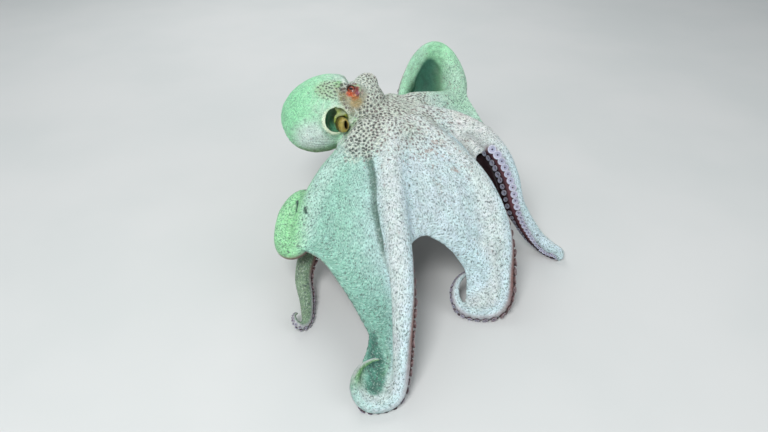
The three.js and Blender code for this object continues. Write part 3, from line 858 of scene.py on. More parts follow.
def knowledge(points, normals):
    """Masks and directions for each point of the skin, by name."""
    line = np.vstack([arm.p for arm in arms.values()])
    owner = np.repeat(np.arange(len(arms)), [len(arm.p) for arm in arms.values()])
    share, radius, along = (np.concatenate([getattr(arm, x) for arm in arms.values()]) for x in "frs")
    ahead, smooth_side, sideways = (np.vstack([getattr(arm, x) for arm in arms.values()]) for x in "tnb")
    i, gap = Guide(line).nearest(points)
    off = points - line[i]
    up = dot(off, smooth_side[i]) / radius[i]
    across = dot(off, sideways[i]) / radius[i]
    edge_shift = 0.55 * owned(dict(owner=owner[i]), "l1") * smoothstep(0, 0.4, across)
    sheets, faces, spans, flows, sides = web_sheets()
    j, sheet_gap = Guide(sheets).nearest(points)
    on_web = smoothstep(-1.5, 3, gap / radius[i] * 6 - sheet_gap - 5)
    beyond = points - sheets[j]
    above = dot(beyond, faces[j])
    on_top = smoothstep(12, 6, sheet_gap) * smoothstep(-0.5, 1, above)
    oral_arm = smoothstep(0.1, -0.35, up + edge_shift) * (1 - on_top)
    oral_web = smoothstep(-0.1, -1.1, above)
    folds = (lobe_sheet(), shade_curtain())
    lobe_gap, inner_gap = (Guide(rows.reshape(-1, 3)).nearest(points)[1] for rows, _ in folds)
    # the fold behind the gap between the first arms, which is painted near-black as shade
    fold_shade = smoothstep(6, 3.5, inner_gap)
    x, _, z = points.T
    under = smoothstep(0.1, -0.3, normals[:, 2]) * smoothstep(178, 170, z) * smoothstep(-62, -48, x)
    body = body_share(points)
    oral = lerp(lerp(oral_arm, oral_web, on_web), under, body) * smoothstep(5, 9, lobe_gap)
    oral = np.maximum(oral, fold_shade)
    turn = np.arctan2(across, up)
    onward = along[i] + dot(off, ahead[i])
    lie_arm = np.stack([turn * radius[i] + owner[i] * LIE_APART, onward, np.zeros(len(points))], -1)
    shift = np.stack([dot(beyond, sides[j]), dot(beyond, flows[j]), np.zeros(len(points))], -1)
    lie_web = spans[j] * V(1, 1, 0) + shift + V(LIE_WEBS, 0, 0)
    outward = (points - V(0, 10, 200)) * V(1, 1, 0.2)
    flow = lerp(lerp(ahead[i], flows[j], on_web[:, None]), unit(outward + 1e-6), body[:, None])
    flow = unit(flow - normals * dot(flow, normals)[:, None] + 1e-9)
    return dict(owner=owner[i], share=share[i], radius=radius[i], up=up, across=across, gap=gap, flow=flow,
                on_web=on_web * (1 - body), oral=oral, body=body, lie_arm=lie_arm, lie_web=lie_web,
                web=spans[j][:, 2], seam=np.abs(2 * on_web - 1) * (1 - body), fold_shade=fold_shade, seam_side=on_web)


TOWARD = V(0, -0.82, 0.57)  # from the animal to the viewer


def owned(k, *names):
    """1 where the nearest arm is one of those named."""
    return np.isin(k["owner"], [list(arms).index(name) for name in names]).astype(float)


def looped(k):
    """1 on the second left arm's loop."""
    return owned(k, "l2") * smoothstep(0.3, 0.45, k["share"])


def on_sheet(k, *names):
    """How far a point belongs to the web between two arms."""
    number = [web[0] for web in WEBS].index(names)
    return k["on_web"] * (k["web"] == number)


def along_line(points, line):
    """Distance to a smooth line, and the share of its length there."""
    line = spline(line, 120)
    i, gap = Guide(line).nearest(points)
    return gap, i / 120


def body_share(points):
    """1 on the mantle, head and crown, falling to 0 out along the arms."""
    p = points.T
    crown = ellipsoid(p, CROWN_CENTRE, CROWN_HALVES)
    head = ellipsoid(p, HEAD_CENTRE, V(38, 36, 34), frame_of(LOOK))
    middle = lerp(MANTLE_NECK, MANTLE_APEX, 0.46)
    mantle = ellipsoid(p, middle, V(68, MANTLE_RADIUS, MANTLE_RADIUS), frame_of(MANTLE_APEX - MANTLE_NECK))
    return smoothstep(9, 2, np.minimum(np.minimum(crown, head), mantle))


# where the web tucks in under the second right arm, pressed in and darkened with painted shade
GROOVE = [(-28, -80, 190), (-22, -99, 182), (-14, -131, 173), (-10, -168, 161), (-8, -199, 146),
          (-2, -228, 131), (4, -256, 116), (7, -275, 97)]


def relief(points, k):
    """How far the skin stands out of its plain form, in millimetres."""
    out = 0.5 * octaves(points / 15, 3, 11) * (1 - 0.5 * k["oral"])
    out += 0.28 * octaves(points / 5, 2, 31) * (1 - k["oral"])
    streak = grain(k["lie"] / V(6.5, 35, 1), 41) + 0.5 * grain(k["lie"] / V(3, 22, 1), 43)
    out += 0.35 * streak * k["on_web"] * k["seam"]
    x, _, z = points.T
    on_mantle = smoothstep(-48, -66, x) * smoothstep(95, 115, z) * k["body"]
    bend = grain(points / V(30, 26, 13), 51) * 3.2 + grain(points / V(11, 9, 6), 53) * 1.3
    wrinkle = np.sin(2 * math.pi * (z + 0.16 * x + bend) / 5.6)
    wrinkle = np.sign(wrinkle) * np.abs(wrinkle) ** 0.7
    broken = 0.45 + 0.55 * smoothstep(-0.3, 0.4, grain(points / V(20, 16, 9), 57))
    out += 0.8 * wrinkle * broken * on_mantle * smoothstep(180, 158, z) * smoothstep(-62, -88, x)
    gap, part = along_line(points, GROOVE)
    groove = smoothstep(6, 1.0, gap) * smoothstep(0, 0.12, part) * smoothstep(1, 0.8, part)
    out -= 2.6 * groove * (1 - k["oral"])
    for side in (1, -1):
        g, a, b = local(points.T, eye_centre(side), eye_frame(side))
        far = np.hypot(a, b * 1.15)
        ring = np.exp(-(((far - 12.5) / 3.2) ** 2)) * smoothstep(-4, 4, g)
        out += 0.5 * ring * np.sin(13 * np.arctan2(b, a) + 2.5 * grain(points / 8, 61))
        below = smoothstep(-3, -9, b) * smoothstep(26, 15, far) * smoothstep(-22, -8, g)
        out += 0.45 * below * np.sin(2 * math.pi * (a + 1.5 * grain(points / 7, 63)) / 3.6)
    curled = smoothstep(0.55, 0.75, k["share"]) * smoothstep(0.2, 0.7, k["up"]) * (1 - k["on_web"])
    out += 0.22 * curled * np.sin(k["lie"][:, 1] * 1.5 + 2 * grain(k["lie"] / V(6, 6, 1), 71))
    return out


# ---- colours, as light reflected in red, green and blue ----
MINT = V(0.33, 0.77, 0.44)
PALE_MINT = V(0.46, 0.72, 0.54)
SEAFOAM = V(0.36, 0.64, 0.53)
# painted shade for the lower web between the second and third right arms
WEB_SHADE = V(0.19, 0.44, 0.34)
ICE = V(0.61, 0.76, 0.82)
SHELL = V(0.67, 0.72, 0.72)
BEIGE = V(0.56, 0.60, 0.51)
LEAF = V(0.33, 0.72, 0.37)
OLIVE = V(0.20, 0.30, 0.17)
# painted shade for the hollow of the second left arm's loop and the wall of the mantle's opening
SHADE_TEAL = V(0.03, 0.13, 0.085)
MAUVE = V(0.10, 0.035, 0.045)
BROWN_PINK = V(0.24, 0.13, 0.12)
ORAL = V(0.34, 0.31, 0.28)
ORAL_PALE = V(0.50, 0.50, 0.53)
CREAM = V(0.88, 0.96, 0.74)

# middle lines of the hollow in the second right arm's hook, of the neck's dense spots, and of the crease
# beside the near eye
POCKET_LINE = [(-10, -343, 47), (-8, -358, 36), (-5, -374, 27), (-5, -388, 21), (-7, -400, 18)]
DENSE_LINE = [(2, 2, 206), (-14, -40, 198), (-27, -82, 184)]
EYE_CREASE = [(-67, -5, 242), (-62, -10, 237), (-59, -16, 230), (-51, -18.5, 221), (-45, -19, 213)]

# colours round the near eye: place out of the eye, along its slit and across it, size, colour and strength
EYE_TINTS = [
    ((0, 8, -12), 30, V(0.44, 0.39, 0.28), 0.85),
    ((17, -20, -2), 11, V(0.17, 0.47, 0.13), 0.8),
    ((12, -6, -18), 10, V(0.22, 0.20, 0.08), 0.75),
    ((-3, 11, -12), 12, V(0.52, 0.36, 0.16), 0.85),
    # these three near-black ones, to the left of the slit, are partly the lid's dark skin and partly painted
    # shade under the upper lid
    ((13, -14, 1), 9, V(0.055, 0.05, 0.025), 0.94),
    ((12, -8, 6), 7, V(0.05, 0.04, 0.025), 0.94),
    ((14, -9, -6), 7, V(0.09, 0.045, 0.03), 0.92),
    ((10, -1, 11), 7, V(0.16, 0.045, 0.04), 0.88),
    ((7, 11, -8), 9, V(0.60, 0.20, 0.06), 0.92),
    ((12, 3, -8), 7.5, V(0.60, 0.09, 0.02), 0.97),
    ((11, 9, 4), 6.5, V(0.24, 0.025, 0.025), 0.96),
    ((12, 9, -2), 4.5, V(0.28, 0.025, 0.02), 0.9),
    ((8, 14, -2), 5, V(0.26, 0.06, 0.11), 0.92),
    ((2, 15, 5), 5, V(0.50, 0.34, 0.30), 0.6),
]


def mixed(colour, other, amount):
    """A colour drawn towards another by an amount from 0 to 1 at each point."""
    return colour + (other - colour) * np.clip(amount, 0, 1)[:, None]


def far_from(points, centre):
    """The distance of each point from a centre."""
    return np.sqrt(np.sum((points - V(*centre)) ** 2, 1))


def broad_colours(points, k):
    """The plain colour of each point, with painted light and shade: greener to the left and back, bluer to
    the front and right.
    """
    x, y, z = points.T
    n = len(points)
    # the green to the left and back is partly the skin's own tint and partly painted shade, green like the
    # light in the water; the bluish white to the front and right is partly painted light
    left = smoothstep(30, -60, x)
    back = smoothstep(0, 90, y)
    colour = mixed(np.tile(ICE, (n, 1)), SEAFOAM, left)
    colour = mixed(colour, PALE_MINT, back)
    colour = mixed(colour, BEIGE * 0.84, 0.95 * smoothstep(125, 55, far_from(points, (5, 0, 200))))
    colour = mixed(colour, SHELL, 0.85 * k["ridge"] * (1 - back) * (1 - 0.7 * owned(k, "r3")))
    upper_arm = owned(k, "l1") * smoothstep(0.5, 0.3, k["share"]) * smoothstep(95, 125, x)
    colour = mixed(colour, SHELL * V(1.15, 1.03, 1.0), 0.8 * upper_arm)
    colour = mixed(colour, SHELL, 0.35 * on_sheet(k, "r1", "r2") * smoothstep(70, 150, z))
    gap, part = along_line(points, SHOULDER)
    colour = mixed(colour, SHELL, 0.8 * smoothstep(15, 8, gap) * smoothstep(0, 0.2, part))
    # painted shade: the web between the second and third right arms darkens lower down, where it faces away
    # from the light
    colour = mixed(colour, WEB_SHADE, on_sheet(k, "r2", "r3") * (0.15 + 0.75 * smoothstep(130, 55, z)))
    # the third right arm greener to the left and on its outer side: partly its own tint and partly painted
    # green light
    colour = mixed(colour, LEAF, owned(k, "r3") * (1 - k["on_web"]) * smoothstep(-95, -128, x))
    outer = smoothstep(0.3, 1.1, k["across"]) * (1 - k["on_web"]) * (1 - k["body"])
    colour = mixed(colour, LEAF, 0.8 * owned(k, "r3") * outer)
    # painted shade: the hind arms, out from their roots, darkened to olive, as they lie in the shade under
    # the body
    hind_shade = owned(k, "r4", "l4") * (1 - k["body"]) * smoothstep(0.25, 0.45, k["share"])
    colour = mixed(colour, OLIVE, 0.9 * hind_shade)
    mantle = smoothstep(-48, -66, x) * k["body"]
    colour = mixed(colour, PALE_MINT, mantle)
    # the mantle greener towards its upper left and back end: partly its own tint and partly painted green
    # light
    colour = mixed(colour, MINT, mantle * smoothstep(-85, -150, x - 0.6 * (z - 190)))
    low_side = smoothstep(45, 14, far_from(points, (-108, -42, 168)))
    colour = mixed(colour, SHELL * 1.3, 0.75 * mantle * low_side)
    colour = mixed(colour, V(0.32, 0.46, 0.22), 0.6 * mantle * mantle_patch(points))
    # painted shade: olive towards the bottom of the mantle, on its underside
    mantle_underside_shade = smoothstep(158, 138, z - 0.12 * (x + 110))
    colour = mixed(colour, OLIVE * V(1.05, 1.25, 0.8), 0.85 * mantle * mantle_underside_shade)
    # the second left arm's loop in brighter green, and paler still on its left limb: partly the loop's own
    # paler skin and partly painted light, as the loop faces away from the lamps
    loop = looped(k)
    colour = mixed(colour, V(0.40, 0.88, 0.50), 0.75 * loop)
    colour = mixed(colour, PALE_MINT * 1.45, 0.8 * loop * smoothstep(90, 70, x))
    colour = hollows(colour, points, k)
    gap, _ = along_line(points, DENSE_LINE)
    return mixed(colour, V(0.30, 0.27, 0.24), 0.4 * smoothstep(46, 16, gap) * (1 - k["oral"]))


def undersides(colour, points, k):
    """The sucker side of the arms and webs, partly darkened with painted shade, and near-black painted shade
    on the fold inside the web.
    """
    x, y, _ = points.T
    near_arm = smoothstep(1.6, 1.0, k["gap"] / k["radius"]) * (1 - k["on_web"])
    first = owned(k, "l1")[:, None]
    far_out = smoothstep(0.62, 0.75, k["share"])[:, None]
    flank_and_shade = lerp(BROWN_PINK, ORAL_PALE, far_out)
    middle = smoothstep(-0.35, 0.1, k["across"])[:, None]
    # the first left arm's flank: its own dark mauve, with painted shade darkening it to near-black on one
    # side
    flank_and_shade = lerp(flank_and_shade, lerp(MAUVE * 0.25, MAUVE * 1.8, middle), first)
    # the sucker side darkens to near-black towards the front right, under the webs: partly its own dark
    # colour and partly painted shade
    underside_and_shade = lerp(ORAL, V(0.05, 0.025, 0.03), smoothstep(-20, 60, x - 0.3 * y)[:, None])
    underside_and_shade = lerp(underside_and_shade, flank_and_shade, near_arm[:, None])
    colour = mixed(colour, underside_and_shade, k["oral"])
    # painted shade: the fold behind the gap between the first arms near-black
    return mixed(colour, V(0.022, 0.009, 0.011), k["fold_shade"])


def round_eyes(colour, points):
    """Painted shade along the crease beside the near eye, the colours round that eye, the far eye's lid, and
    painted shade at the brinks of both.
    """
    # painted shade: a dark olive line along the crease beside the near eye
    gap, _ = along_line(points, EYE_CREASE)
    colour = mixed(colour, V(0.24, 0.22, 0.10), 0.75 * smoothstep(9, 3, gap + 1.5 * grain(points / 4, 89)))
    for place, size, shade, strength in EYE_TINTS:
        centre = eye_centre(1) + V(*place) @ eye_frame(1)
        ragged = far_from(points, centre) + 1.2 * grain(points / 3, 96)
        colour = mixed(colour, shade, strength * smoothstep(size, size * 0.5, ragged))
    g, a, b = local(points.T, eye_centre(-1), eye_frame(-1))
    lid = smoothstep(21, 14, np.sqrt(g**2 + a**2 + b**2))
    streak = 0.5 + 0.5 * np.sin(2.2 * a + 2 * grain(points / 6, 95))
    colour = mixed(colour, V(0.38, 0.24, 0.22), lid * (0.35 + 0.5 * streak))
    for side in (1, -1):
        g, a, b = local(points.T, eye_centre(side), eye_frame(side))
        # painted shade: a near-black ring where each lid's edge meets the eyeball
        brink_shade = smoothstep(2.2, 0.4, np.abs(np.hypot(a / EYE_SLIT[0], b / EYE_SLIT[1]) - 1.05) * 6)
        colour = mixed(colour, V(0.07, 0.03, 0.02), 0.8 * brink_shade * smoothstep(7, 9, g))
    return colour


def opening_colours(colour, points, rim):
    """The wall of the mantle's opening in painted shade, its folds, its rim and the rim's painted shadow
    beside it.
    """
    deep = cave(points)
    # painted shade inside the opening: dark teal with lighter green bands, and darker olive towards one side
    beside = (points - APERTURE) @ CAVITY_AXES[1]
    bands = 0.5 + 0.5 * np.sin(beside * 1.4 + 1.5 * grain(points / 5, 97))
    wall = lerp(SHADE_TEAL * 2.2, V(0.17, 0.42, 0.22), bands[:, None])
    wall = lerp(wall, V(0.13, 0.17, 0.03), smoothstep(2, 12, beside)[:, None])
    colour = mixed(colour, np.clip(wall, 0, 1), deep)
    for fold in OPENING_FOLDS:
        gap, _ = along_line(points, APERTURE + V(*fold) @ CAVITY_AXES)
        colour = mixed(colour, V(0.34, 0.40, 0.08), smoothstep(5.5, 2.8, gap + grain(points / 3, 93)))
    gap, part = Guide(rim).nearest(points)[::-1]
    turn = part / len(rim) * 2 * math.pi
    thick = smoothstep(0.1, 0.7, np.cos(turn - RIM_FROM))
    # painted shadow of the rim on the skin just outside it, where the rim is thick
    shade = smoothstep(12, 5, gap) * thick * (1 - deep)
    colour = mixed(colour, V(0.22, 0.42, 0.28), 0.55 * shade)
    return mixed(colour, CREAM, smoothstep(4.2, 2.6, gap) * lerp(0.45, 1, thick))


def tints(points, k, rim):
    """The colour of each point, with its painted light and shade, without its markings."""
    colour = undersides(broad_colours(points, k), points, k)
    # painted shade along the groove where the web tucks in under the second right arm
    gap, part = along_line(points, GROOVE)
    line = smoothstep(8, 2.5, gap + 1.2 * grain(points / 5, 94))
    line *= smoothstep(0, 0.1, part) * smoothstep(1, 0.8, part)
    colour = mixed(colour, V(0.09, 0.18, 0.14), 0.9 * line * (1 - k["oral"]))
    return opening_colours(round_eyes(colour, points), points, rim)


def hollow_share(points, k):
    """1 in the hollow inside the second left arm's loop."""
    inside = smoothstep(0.9, 1.2, k["gap"] / k["radius"]) * smoothstep(88, 100, points[:, 1])
    inside *= smoothstep(40, 50, points[:, 0]) * smoothstep(120, 102, points[:, 0])
    return inside * smoothstep(120, 135, points[:, 2]) * (1 - k["oral"])


def hollows(colour, points, k):
    """Painted shade in the second arms' loops and the third one's slits, a painted glow in the left loop, and
    the second right arm's tip.
    """
    # painted shade in the hollow of the second left arm's loop, with a painted green glow towards its right
    # side
    painted_glow = smoothstep(85, 125, points[:, 0] + 0.4 * grain(points / 12, 99))
    colour = mixed(colour, lerp(SHADE_TEAL * 0.9, LEAF * 0.5, painted_glow[:, None]), k["hollow"])
    # painted shade in the hollow of the second right arm's hook, with faint lines across it
    gap, part = along_line(points, POCKET_LINE)
    wide = lerp(5, 10, smoothstep(0, 0.5, part))
    pocket_shade = smoothstep(1.3, 0.8, (gap + grain(points / 5, 90)) / wide)
    pocket_shade *= smoothstep(0.6, 1.0, k["gap"] / k["radius"])
    lines = 0.85 + 0.3 * np.sin(1.6 * points[:, 2] - 0.9 * points[:, 1] + 2 * grain(points / 6, 98))
    colour = mixed(colour, V(0.06, 0.23, 0.17) * lines[:, None], 0.9 * pocket_shade)
    tip = owned(k, "r2") * smoothstep(0.88, 0.94, k["share"]) * (1 - k["on_web"])
    colour = mixed(colour, V(0.14, 0.36, 0.12), tip)
    # painted shade: near-black in the slits of the third right arm's loop
    for slit in LOBE_SLITS:
        gap, _ = along_line(points, slit)
        colour = mixed(colour, V(0.01, 0.05, 0.03), smoothstep(2.6, 1.6, gap))
    return colour


def cave(points):
    """1 on the wall of the mantle's opening."""
    return smoothstep(1.6, 0.4, ellipsoid(points.T, APERTURE, CAVITY_HALVES, CAVITY_AXES))


def mantle_patch(points):
    """1 where the mantle is spotted, beside the near eye."""
    return smoothstep(28, 15, far_from(points * V(1, 1.3, 1), (-81, -9, 240)))


def spot_plan(points, k):
    """At each point the chance of a dark spot, its spacing, radius, stretch, tone and strength, the pale net
    between spots, and the mound round the near eye, which has neither."""
    x, _, z = points.T
    head = smoothstep(50, 36, far_from(points, (-26, 20, 220)))
    gap, _ = along_line(points, DENSE_LINE)
    dense = smoothstep(46, 16, gap + 7 * grain(points / 14, 92))
    out = far_from(points * V(1, 1, 0.7), (12, -5, 142))
    crown = smoothstep(165, 55, out)
    cluster = smoothstep(-0.1, 0.4, grain(points / 22, 91))
    right = smoothstep(-20, 15, x)
    far = smoothstep(220, 120, out) * cluster * right * 0.6
    patch = mantle_patch(points)
    mantle = smoothstep(-52, -62, x) * k["body"] * smoothstep(165, 185, z)
    on_crown = crown * (0.55 + 0.45 * cluster) * lerp(0.3, 1, right)
    chance = np.maximum.reduce([0.92 * head, 0.92 * dense, on_crown, far, 0.03 * right])
    chance = lerp(chance, np.maximum(patch, 0.07), mantle) * (k["oral"] < 0.3) * (cave(points) < 0.5)
    mound = np.maximum(smoothstep(21, 16, far_from(points, eye_centre(1) + V(-1, -3, -6))),
                       smoothstep(19, 14, far_from(points, eye_centre(1) + V(6, -6, 3))))
    chance *= mound < 0.4
    spacing = lerp(lerp(4.4, 4.9, dense), 4.2, head * (1 - dense))
    spacing = np.where(mantle > 0.5, 4.2, spacing)
    radius = lerp(lerp(lerp(1.0, 1.35, crown), 1.75, dense), 1.35, head * (1 - dense))
    cell = np.round(points * 3).astype(np.int64)
    radius = np.where(mantle > 0.5, 1.5, radius) * (0.7 + 0.6 * hashed(cell, 5))
    stretch = lerp(lerp(1.7, 1.2, dense), 1.0, np.maximum(head, mantle))
    tone = lerp(lerp(0.75, 0.45, crown), lerp(0.02, 0.34, smoothstep(-30, -10, x)), np.maximum(dense, head))
    tone = np.where(mantle > 0.5, 0.02, tone) + 0.3 * (hashed(cell, 6) - 0.4)
    strength = lerp(lerp(0.5, 0.8, crown), 0.92, np.maximum(dense, 0.7 * head))
    strength = np.where(mantle > 0.5, 0.2 + 0.7 * patch, strength)
    net = (np.maximum(dense, 0.8 * head) + 0.5 * crown) * (1 - mound)
    return chance, spacing, radius, stretch, np.clip(tone, 0, 1), strength, net, mound


def spot_attributes(points, k):
    """Distances to the dark spots, with their looks, and the strength of the net and of fine flecks."""
    chance, spacing, radius, stretch, tone, strength, net, mound = spot_plan(points, k)
    aboral = k["oral"] < 0.5
    centres = scatter(points, spacing, chance, 101)
    near = np.nonzero(aboral & (far_from(points, (20, -30, 190)) < 260))[0]
    share, margin, colour = dots(points, near, centres, k["flow"], radius, stretch, tone)
    look = np.column_stack([colour, strength * (1 - k["hollow"]), margin])
    mantle = smoothstep(-50, -64, points[:, 0]) * k["body"]
    fleck = lerp(0.66, 0.42, mantle)
    for bare in (0.5 * looped(k), 0.4 * mound, k["oral"], k["hollow"], cave(points)):
        fleck *= 1 - bare
    return dict(spot=share, spot_look=look, net=np.clip(net, 0, 1), fleck=fleck)


# ---- from millimetres in the design frame to objects in the row frame ----
low, high = (V(*corner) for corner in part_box("eye_right"))
SHIFT = (low + high) / 2 * 1000 - eye_centre(1)


def metres(points):
    """Places in the row frame for points in the design frame."""
    return (np.asarray(points) + SHIFT) / 1000


def mesh_object(name, points, faces, attributes, material, stands_for=()):
    """A shaded mesh from points in mm and faces, which rides on the body."""
    mesh = bpy.data.meshes.new(name)
    points = metres(points)
    sizes = np.concatenate([np.full(len(f), f.shape[1]) for f in faces if len(f)])
    corners = np.concatenate([f.ravel() for f in faces if len(f)])
    mesh.vertices.add(len(points))
    mesh.vertices.foreach_set("co", points.astype(np.float32).ravel())
    mesh.loops.add(len(corners))
    mesh.loops.foreach_set("vertex_index", corners.astype(np.int32))
    mesh.polygons.add(len(sizes))
    mesh.polygons.foreach_set("loop_start", np.r_[0, np.cumsum(sizes)[:-1]].astype(np.int32))
    mesh.update(calc_edges=True)
    for key, values in attributes.items():
        kind, column = "FLOAT", "value"
        if key == "tint":
            kind, column = "FLOAT_COLOR", "color"
            values = np.column_stack([values, np.ones(len(values))])
        elif values.ndim == 2:
            kind, column = "FLOAT_VECTOR", "vector"
        layer = mesh.attributes.new(key, kind, "POINT")
        layer.data.foreach_set(column, values.astype(np.float32).ravel())
    mesh.shade_smooth()
    mesh.materials.append(material)
    piece = bpy.data.objects.new(name, mesh)
    bpy.context.scene.collection.objects.link(piece)
    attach(piece, "root")
    if stands_for:
        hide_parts(*stands_for)
    return piece


# ---- materials ----
# how colour changes with a spot's tone, with an iris's fibres, and outwards to inwards over a sucker
SPOT_SHADES = [
    (0.0, V(0.03, 0.05, 0.035)),
    (0.34, V(0.06, 0.03, 0.04)),
    (0.62, V(0.15, 0.08, 0.07)),
    (1.0, V(0.26, 0.15, 0.16)),
]
IRIS_SHADES = [
    (0.3, V(0.05, 0.012, 0.01)),
    (0.45, V(0.20, 0.03, 0.012)),
    (0.58, V(0.38, 0.07, 0.015)),
    (0.75, V(0.55, 0.20, 0.04)),
]
# the dark stops at either end of each sucker's ramp are painted shade: on the stalk under the rim, and in the
# hole at the middle
PALE_SUCKER = [
    (0.0, V(0.06, 0.025, 0.03)),
    (0.12, V(0.07, 0.03, 0.04)),
    (0.22, V(0.20, 0.17, 0.25)),
    (0.32, V(0.62, 0.62, 0.76)),
    (0.45, V(0.68, 0.70, 0.82)),
    (0.6, V(0.50, 0.50, 0.66)),
    (0.72, V(0.56, 0.57, 0.72)),
    (0.82, V(0.20, 0.17, 0.27)),
    (0.9, V(0.03, 0.02, 0.03)),
]
DULL_SUCKER = [
    (0.0, V(0.08, 0.035, 0.035)),
    (0.2, V(0.16, 0.09, 0.085)),
    (0.36, V(0.34, 0.23, 0.22)),
    (0.6, V(0.28, 0.18, 0.18)),
    (0.88, V(0.05, 0.03, 0.03)),
]


class Graph:
    """A material's nodes, made one call at a time."""

    def __init__(self, name):
        self.material = bpy.data.materials.new(name)
        self.material.use_nodes = True
        self.tree = self.material.node_tree
        self.shader = self.tree.nodes["Principled BSDF"]

    def node(self, kind, inputs=(), **settings):
        made = self.tree.nodes.new("ShaderNode" + kind)
        for key, value in settings.items():
            setattr(made, key, value)
        for key, value in dict(inputs).items():
            self.feed(made.inputs[key], value)
        return made

    def feed(self, socket, value):
        if isinstance(value, bpy.types.NodeSocket):
            self.tree.links.new(value, socket)
        else:
            socket.default_value = value

    def attribute(self, name, output="Fac"):
        return self.node("Attribute", attribute_name=name).outputs[output]

    def math(self, operation, a, b=0.0, c=0.0):
        return self.node("Math", {0: a, 1: b, 2: c}, operation=operation).outputs[0]

    def times(self, a, b):
        return self.math("MULTIPLY", a, b)

    def plus(self, a, b):
        return self.math("ADD", a, b)

    def ramp(self, value, low, high, to_low=0.0, to_high=1.0):
        made = self.node("MapRange", {"Value": value, "From Min": low, "From Max": high, "To Min": to_low,
                                      "To Max": to_high}, interpolation_type="SMOOTHSTEP")
        return made.outputs[0]

    def mix(self, amount, a, b, blend="MIX"):
        made = self.node("Mix", data_type="RGBA", blend_type=blend)
        for i, value in ((0, amount), (6, a), (7, b)):
            if not isinstance(value, bpy.types.NodeSocket) and i:
                value = (*value, 1)
            self.feed(made.inputs[i], value)
        return made.outputs[2]

    def mix_value(self, amount, a, b):
        made = self.node("Mix", data_type="FLOAT")
        for i, value in ((0, amount), (2, a), (3, b)):
            self.feed(made.inputs[i], value)
        return made.outputs[0]

    def grey(self, value):
        return self.node("CombineColor", {0: value, 1: value, 2: value}).outputs[0]

    def stops(self, value, colours):
        """A colour ramp through (place, colour) pairs."""
        made = self.node("ValToRGB", {"Fac": value})
        while len(made.color_ramp.elements) < len(colours):
            made.color_ramp.elements.new(0.5)
        for element, (where, colour) in zip(made.color_ramp.elements, colours):
            element.position = where
            element.color = (*colour, 1)
        return made.outputs[0]

    def noise(self, where, scale, detail=2.0, rough=0.5):
        made = self.node("TexNoise", {"Vector": where, "Scale": scale, "Detail": detail, "Roughness": rough})
        return made.outputs[0]

    def scaled(self, vector, by):
        return self.node("VectorMath", {0: vector, 1: by}, operation="MULTIPLY").outputs[0]

    def bump(self, height, distance, strength):
        return self.node("Bump", {"Height": height, "Distance": distance, "Strength": strength}).outputs[0]

    def finish(self, **sockets):
        for key, value in sockets.items():
            self.feed(self.shader.inputs[key.replace("_", " ")], value)
        return self.material


def skin_material():
    """The skin: its tint under a mottle, a pale net, dark spots, flecks and blotches."""
    g = Graph("octopus_skin")
    place = g.node("TexCoord").outputs["Object"]
    lie, seam = g.attribute("lie", "Vector"), g.attribute("seam")
    colour = g.attribute("tint", "Color")

    # pale streaks that run out along the webs and arms, and a soft mottle over all
    streaks = g.noise(g.scaled(lie, (0.16, 0.03, 1.0)), 1.0, 3, 0.6)
    streaks = g.mix_value(seam, 0.5, streaks)
    mottle = g.noise(place, 95, 3, 0.6)
    fine = g.noise(place, 420, 3, 0.65)
    light = g.times(g.ramp(streaks, 0.3, 0.7, 0.88, 1.1), g.ramp(mottle, 0.3, 0.7, 0.88, 1.1))
    light = g.times(light, g.ramp(fine, 0.3, 0.7, 0.86, 1.12))
    colour = g.mix(1.0, colour, g.grey(light), "MULTIPLY")
    green = g.ramp(g.noise(place, 60, 2), 0.35, 0.65)
    colour = g.mix(g.times(green, 0.35), colour, g.mix(1.0, colour, (0.86, 1.0, 0.9), "MULTIPLY"))

    # a pale net between the spots of the head and crown
    look = g.node("SeparateXYZ", {0: g.attribute("spot_look", "Vector")}).outputs
    ragged = g.ramp(g.noise(place, 380, 3, 0.6), 0.25, 0.75, -0.45, 0.45)
    net = g.times(g.ramp(look[2], 2.4, 0.4), g.attribute("net"))
    colour = g.mix(g.times(net, 0.7), colour, (0.80, 0.88, 0.76))

    # dark spots: green-black, maroon-black, brown and maroon-grey
    share = g.plus(g.attribute("spot"), ragged)
    spot = g.times(g.ramp(share, 1.25, 0.72), look[1])
    halo = g.times(g.ramp(share, 2.3, 1.0), g.times(look[1], 0.3))
    colour = g.mix(halo, colour, (0.40, 0.34, 0.32))
    colour = g.mix(spot, colour, g.stops(look[0], SPOT_SHADES))

    # fine grey-green flecks, drawn out along the arms and webs, and a few larger ones
    along = g.noise(g.scaled(lie, (0.52, 0.28, 1.0)), 1.0, 2, 0.6)
    fleck = g.mix_value(g.ramp(seam, 0.35, 0.7), g.noise(place, 520, 2, 0.6), along)
    strength = g.attribute("fleck")
    speck = g.times(g.ramp(fleck, 0.52, 0.62), strength)
    colour = g.mix(speck, colour, (0.10, 0.17, 0.15))
    glint = g.times(g.ramp(fleck, 0.46, 0.34), g.times(strength, 0.5))
    colour = g.mix(glint, colour, (0.82, 0.92, 0.88))
    sparse = g.times(g.ramp(g.noise(place, 250, 1), 0.64, 0.7), strength)
    colour = g.mix(sparse, colour, (0.08, 0.10, 0.10))

    # reddish-brown blotches here and there on the front
    blotch = g.times(g.ramp(g.noise(place, 62, 4, 0.7), 0.54, 0.7), g.attribute("blush"))
    colour = g.mix(blotch, colour, (0.42, 0.27, 0.22))

    height = g.plus(g.times(fine, 0.6), g.times(spot, -0.45))
    height = g.plus(height, g.times(net, 0.4))
    height = g.plus(height, g.times(speck, -0.5))
    normal = g.bump(height, 0.0008, 0.6)
    rough = g.ramp(mottle, 0.3, 0.7, 0.5, 0.66)
    return g.finish(Base_Color=colour, Roughness=rough, Normal=normal, Specular_IOR_Level=0.35,
                    Subsurface_Weight=0.1, Subsurface_Scale=0.004, Subsurface_Radius=(1.0, 0.7, 0.5))


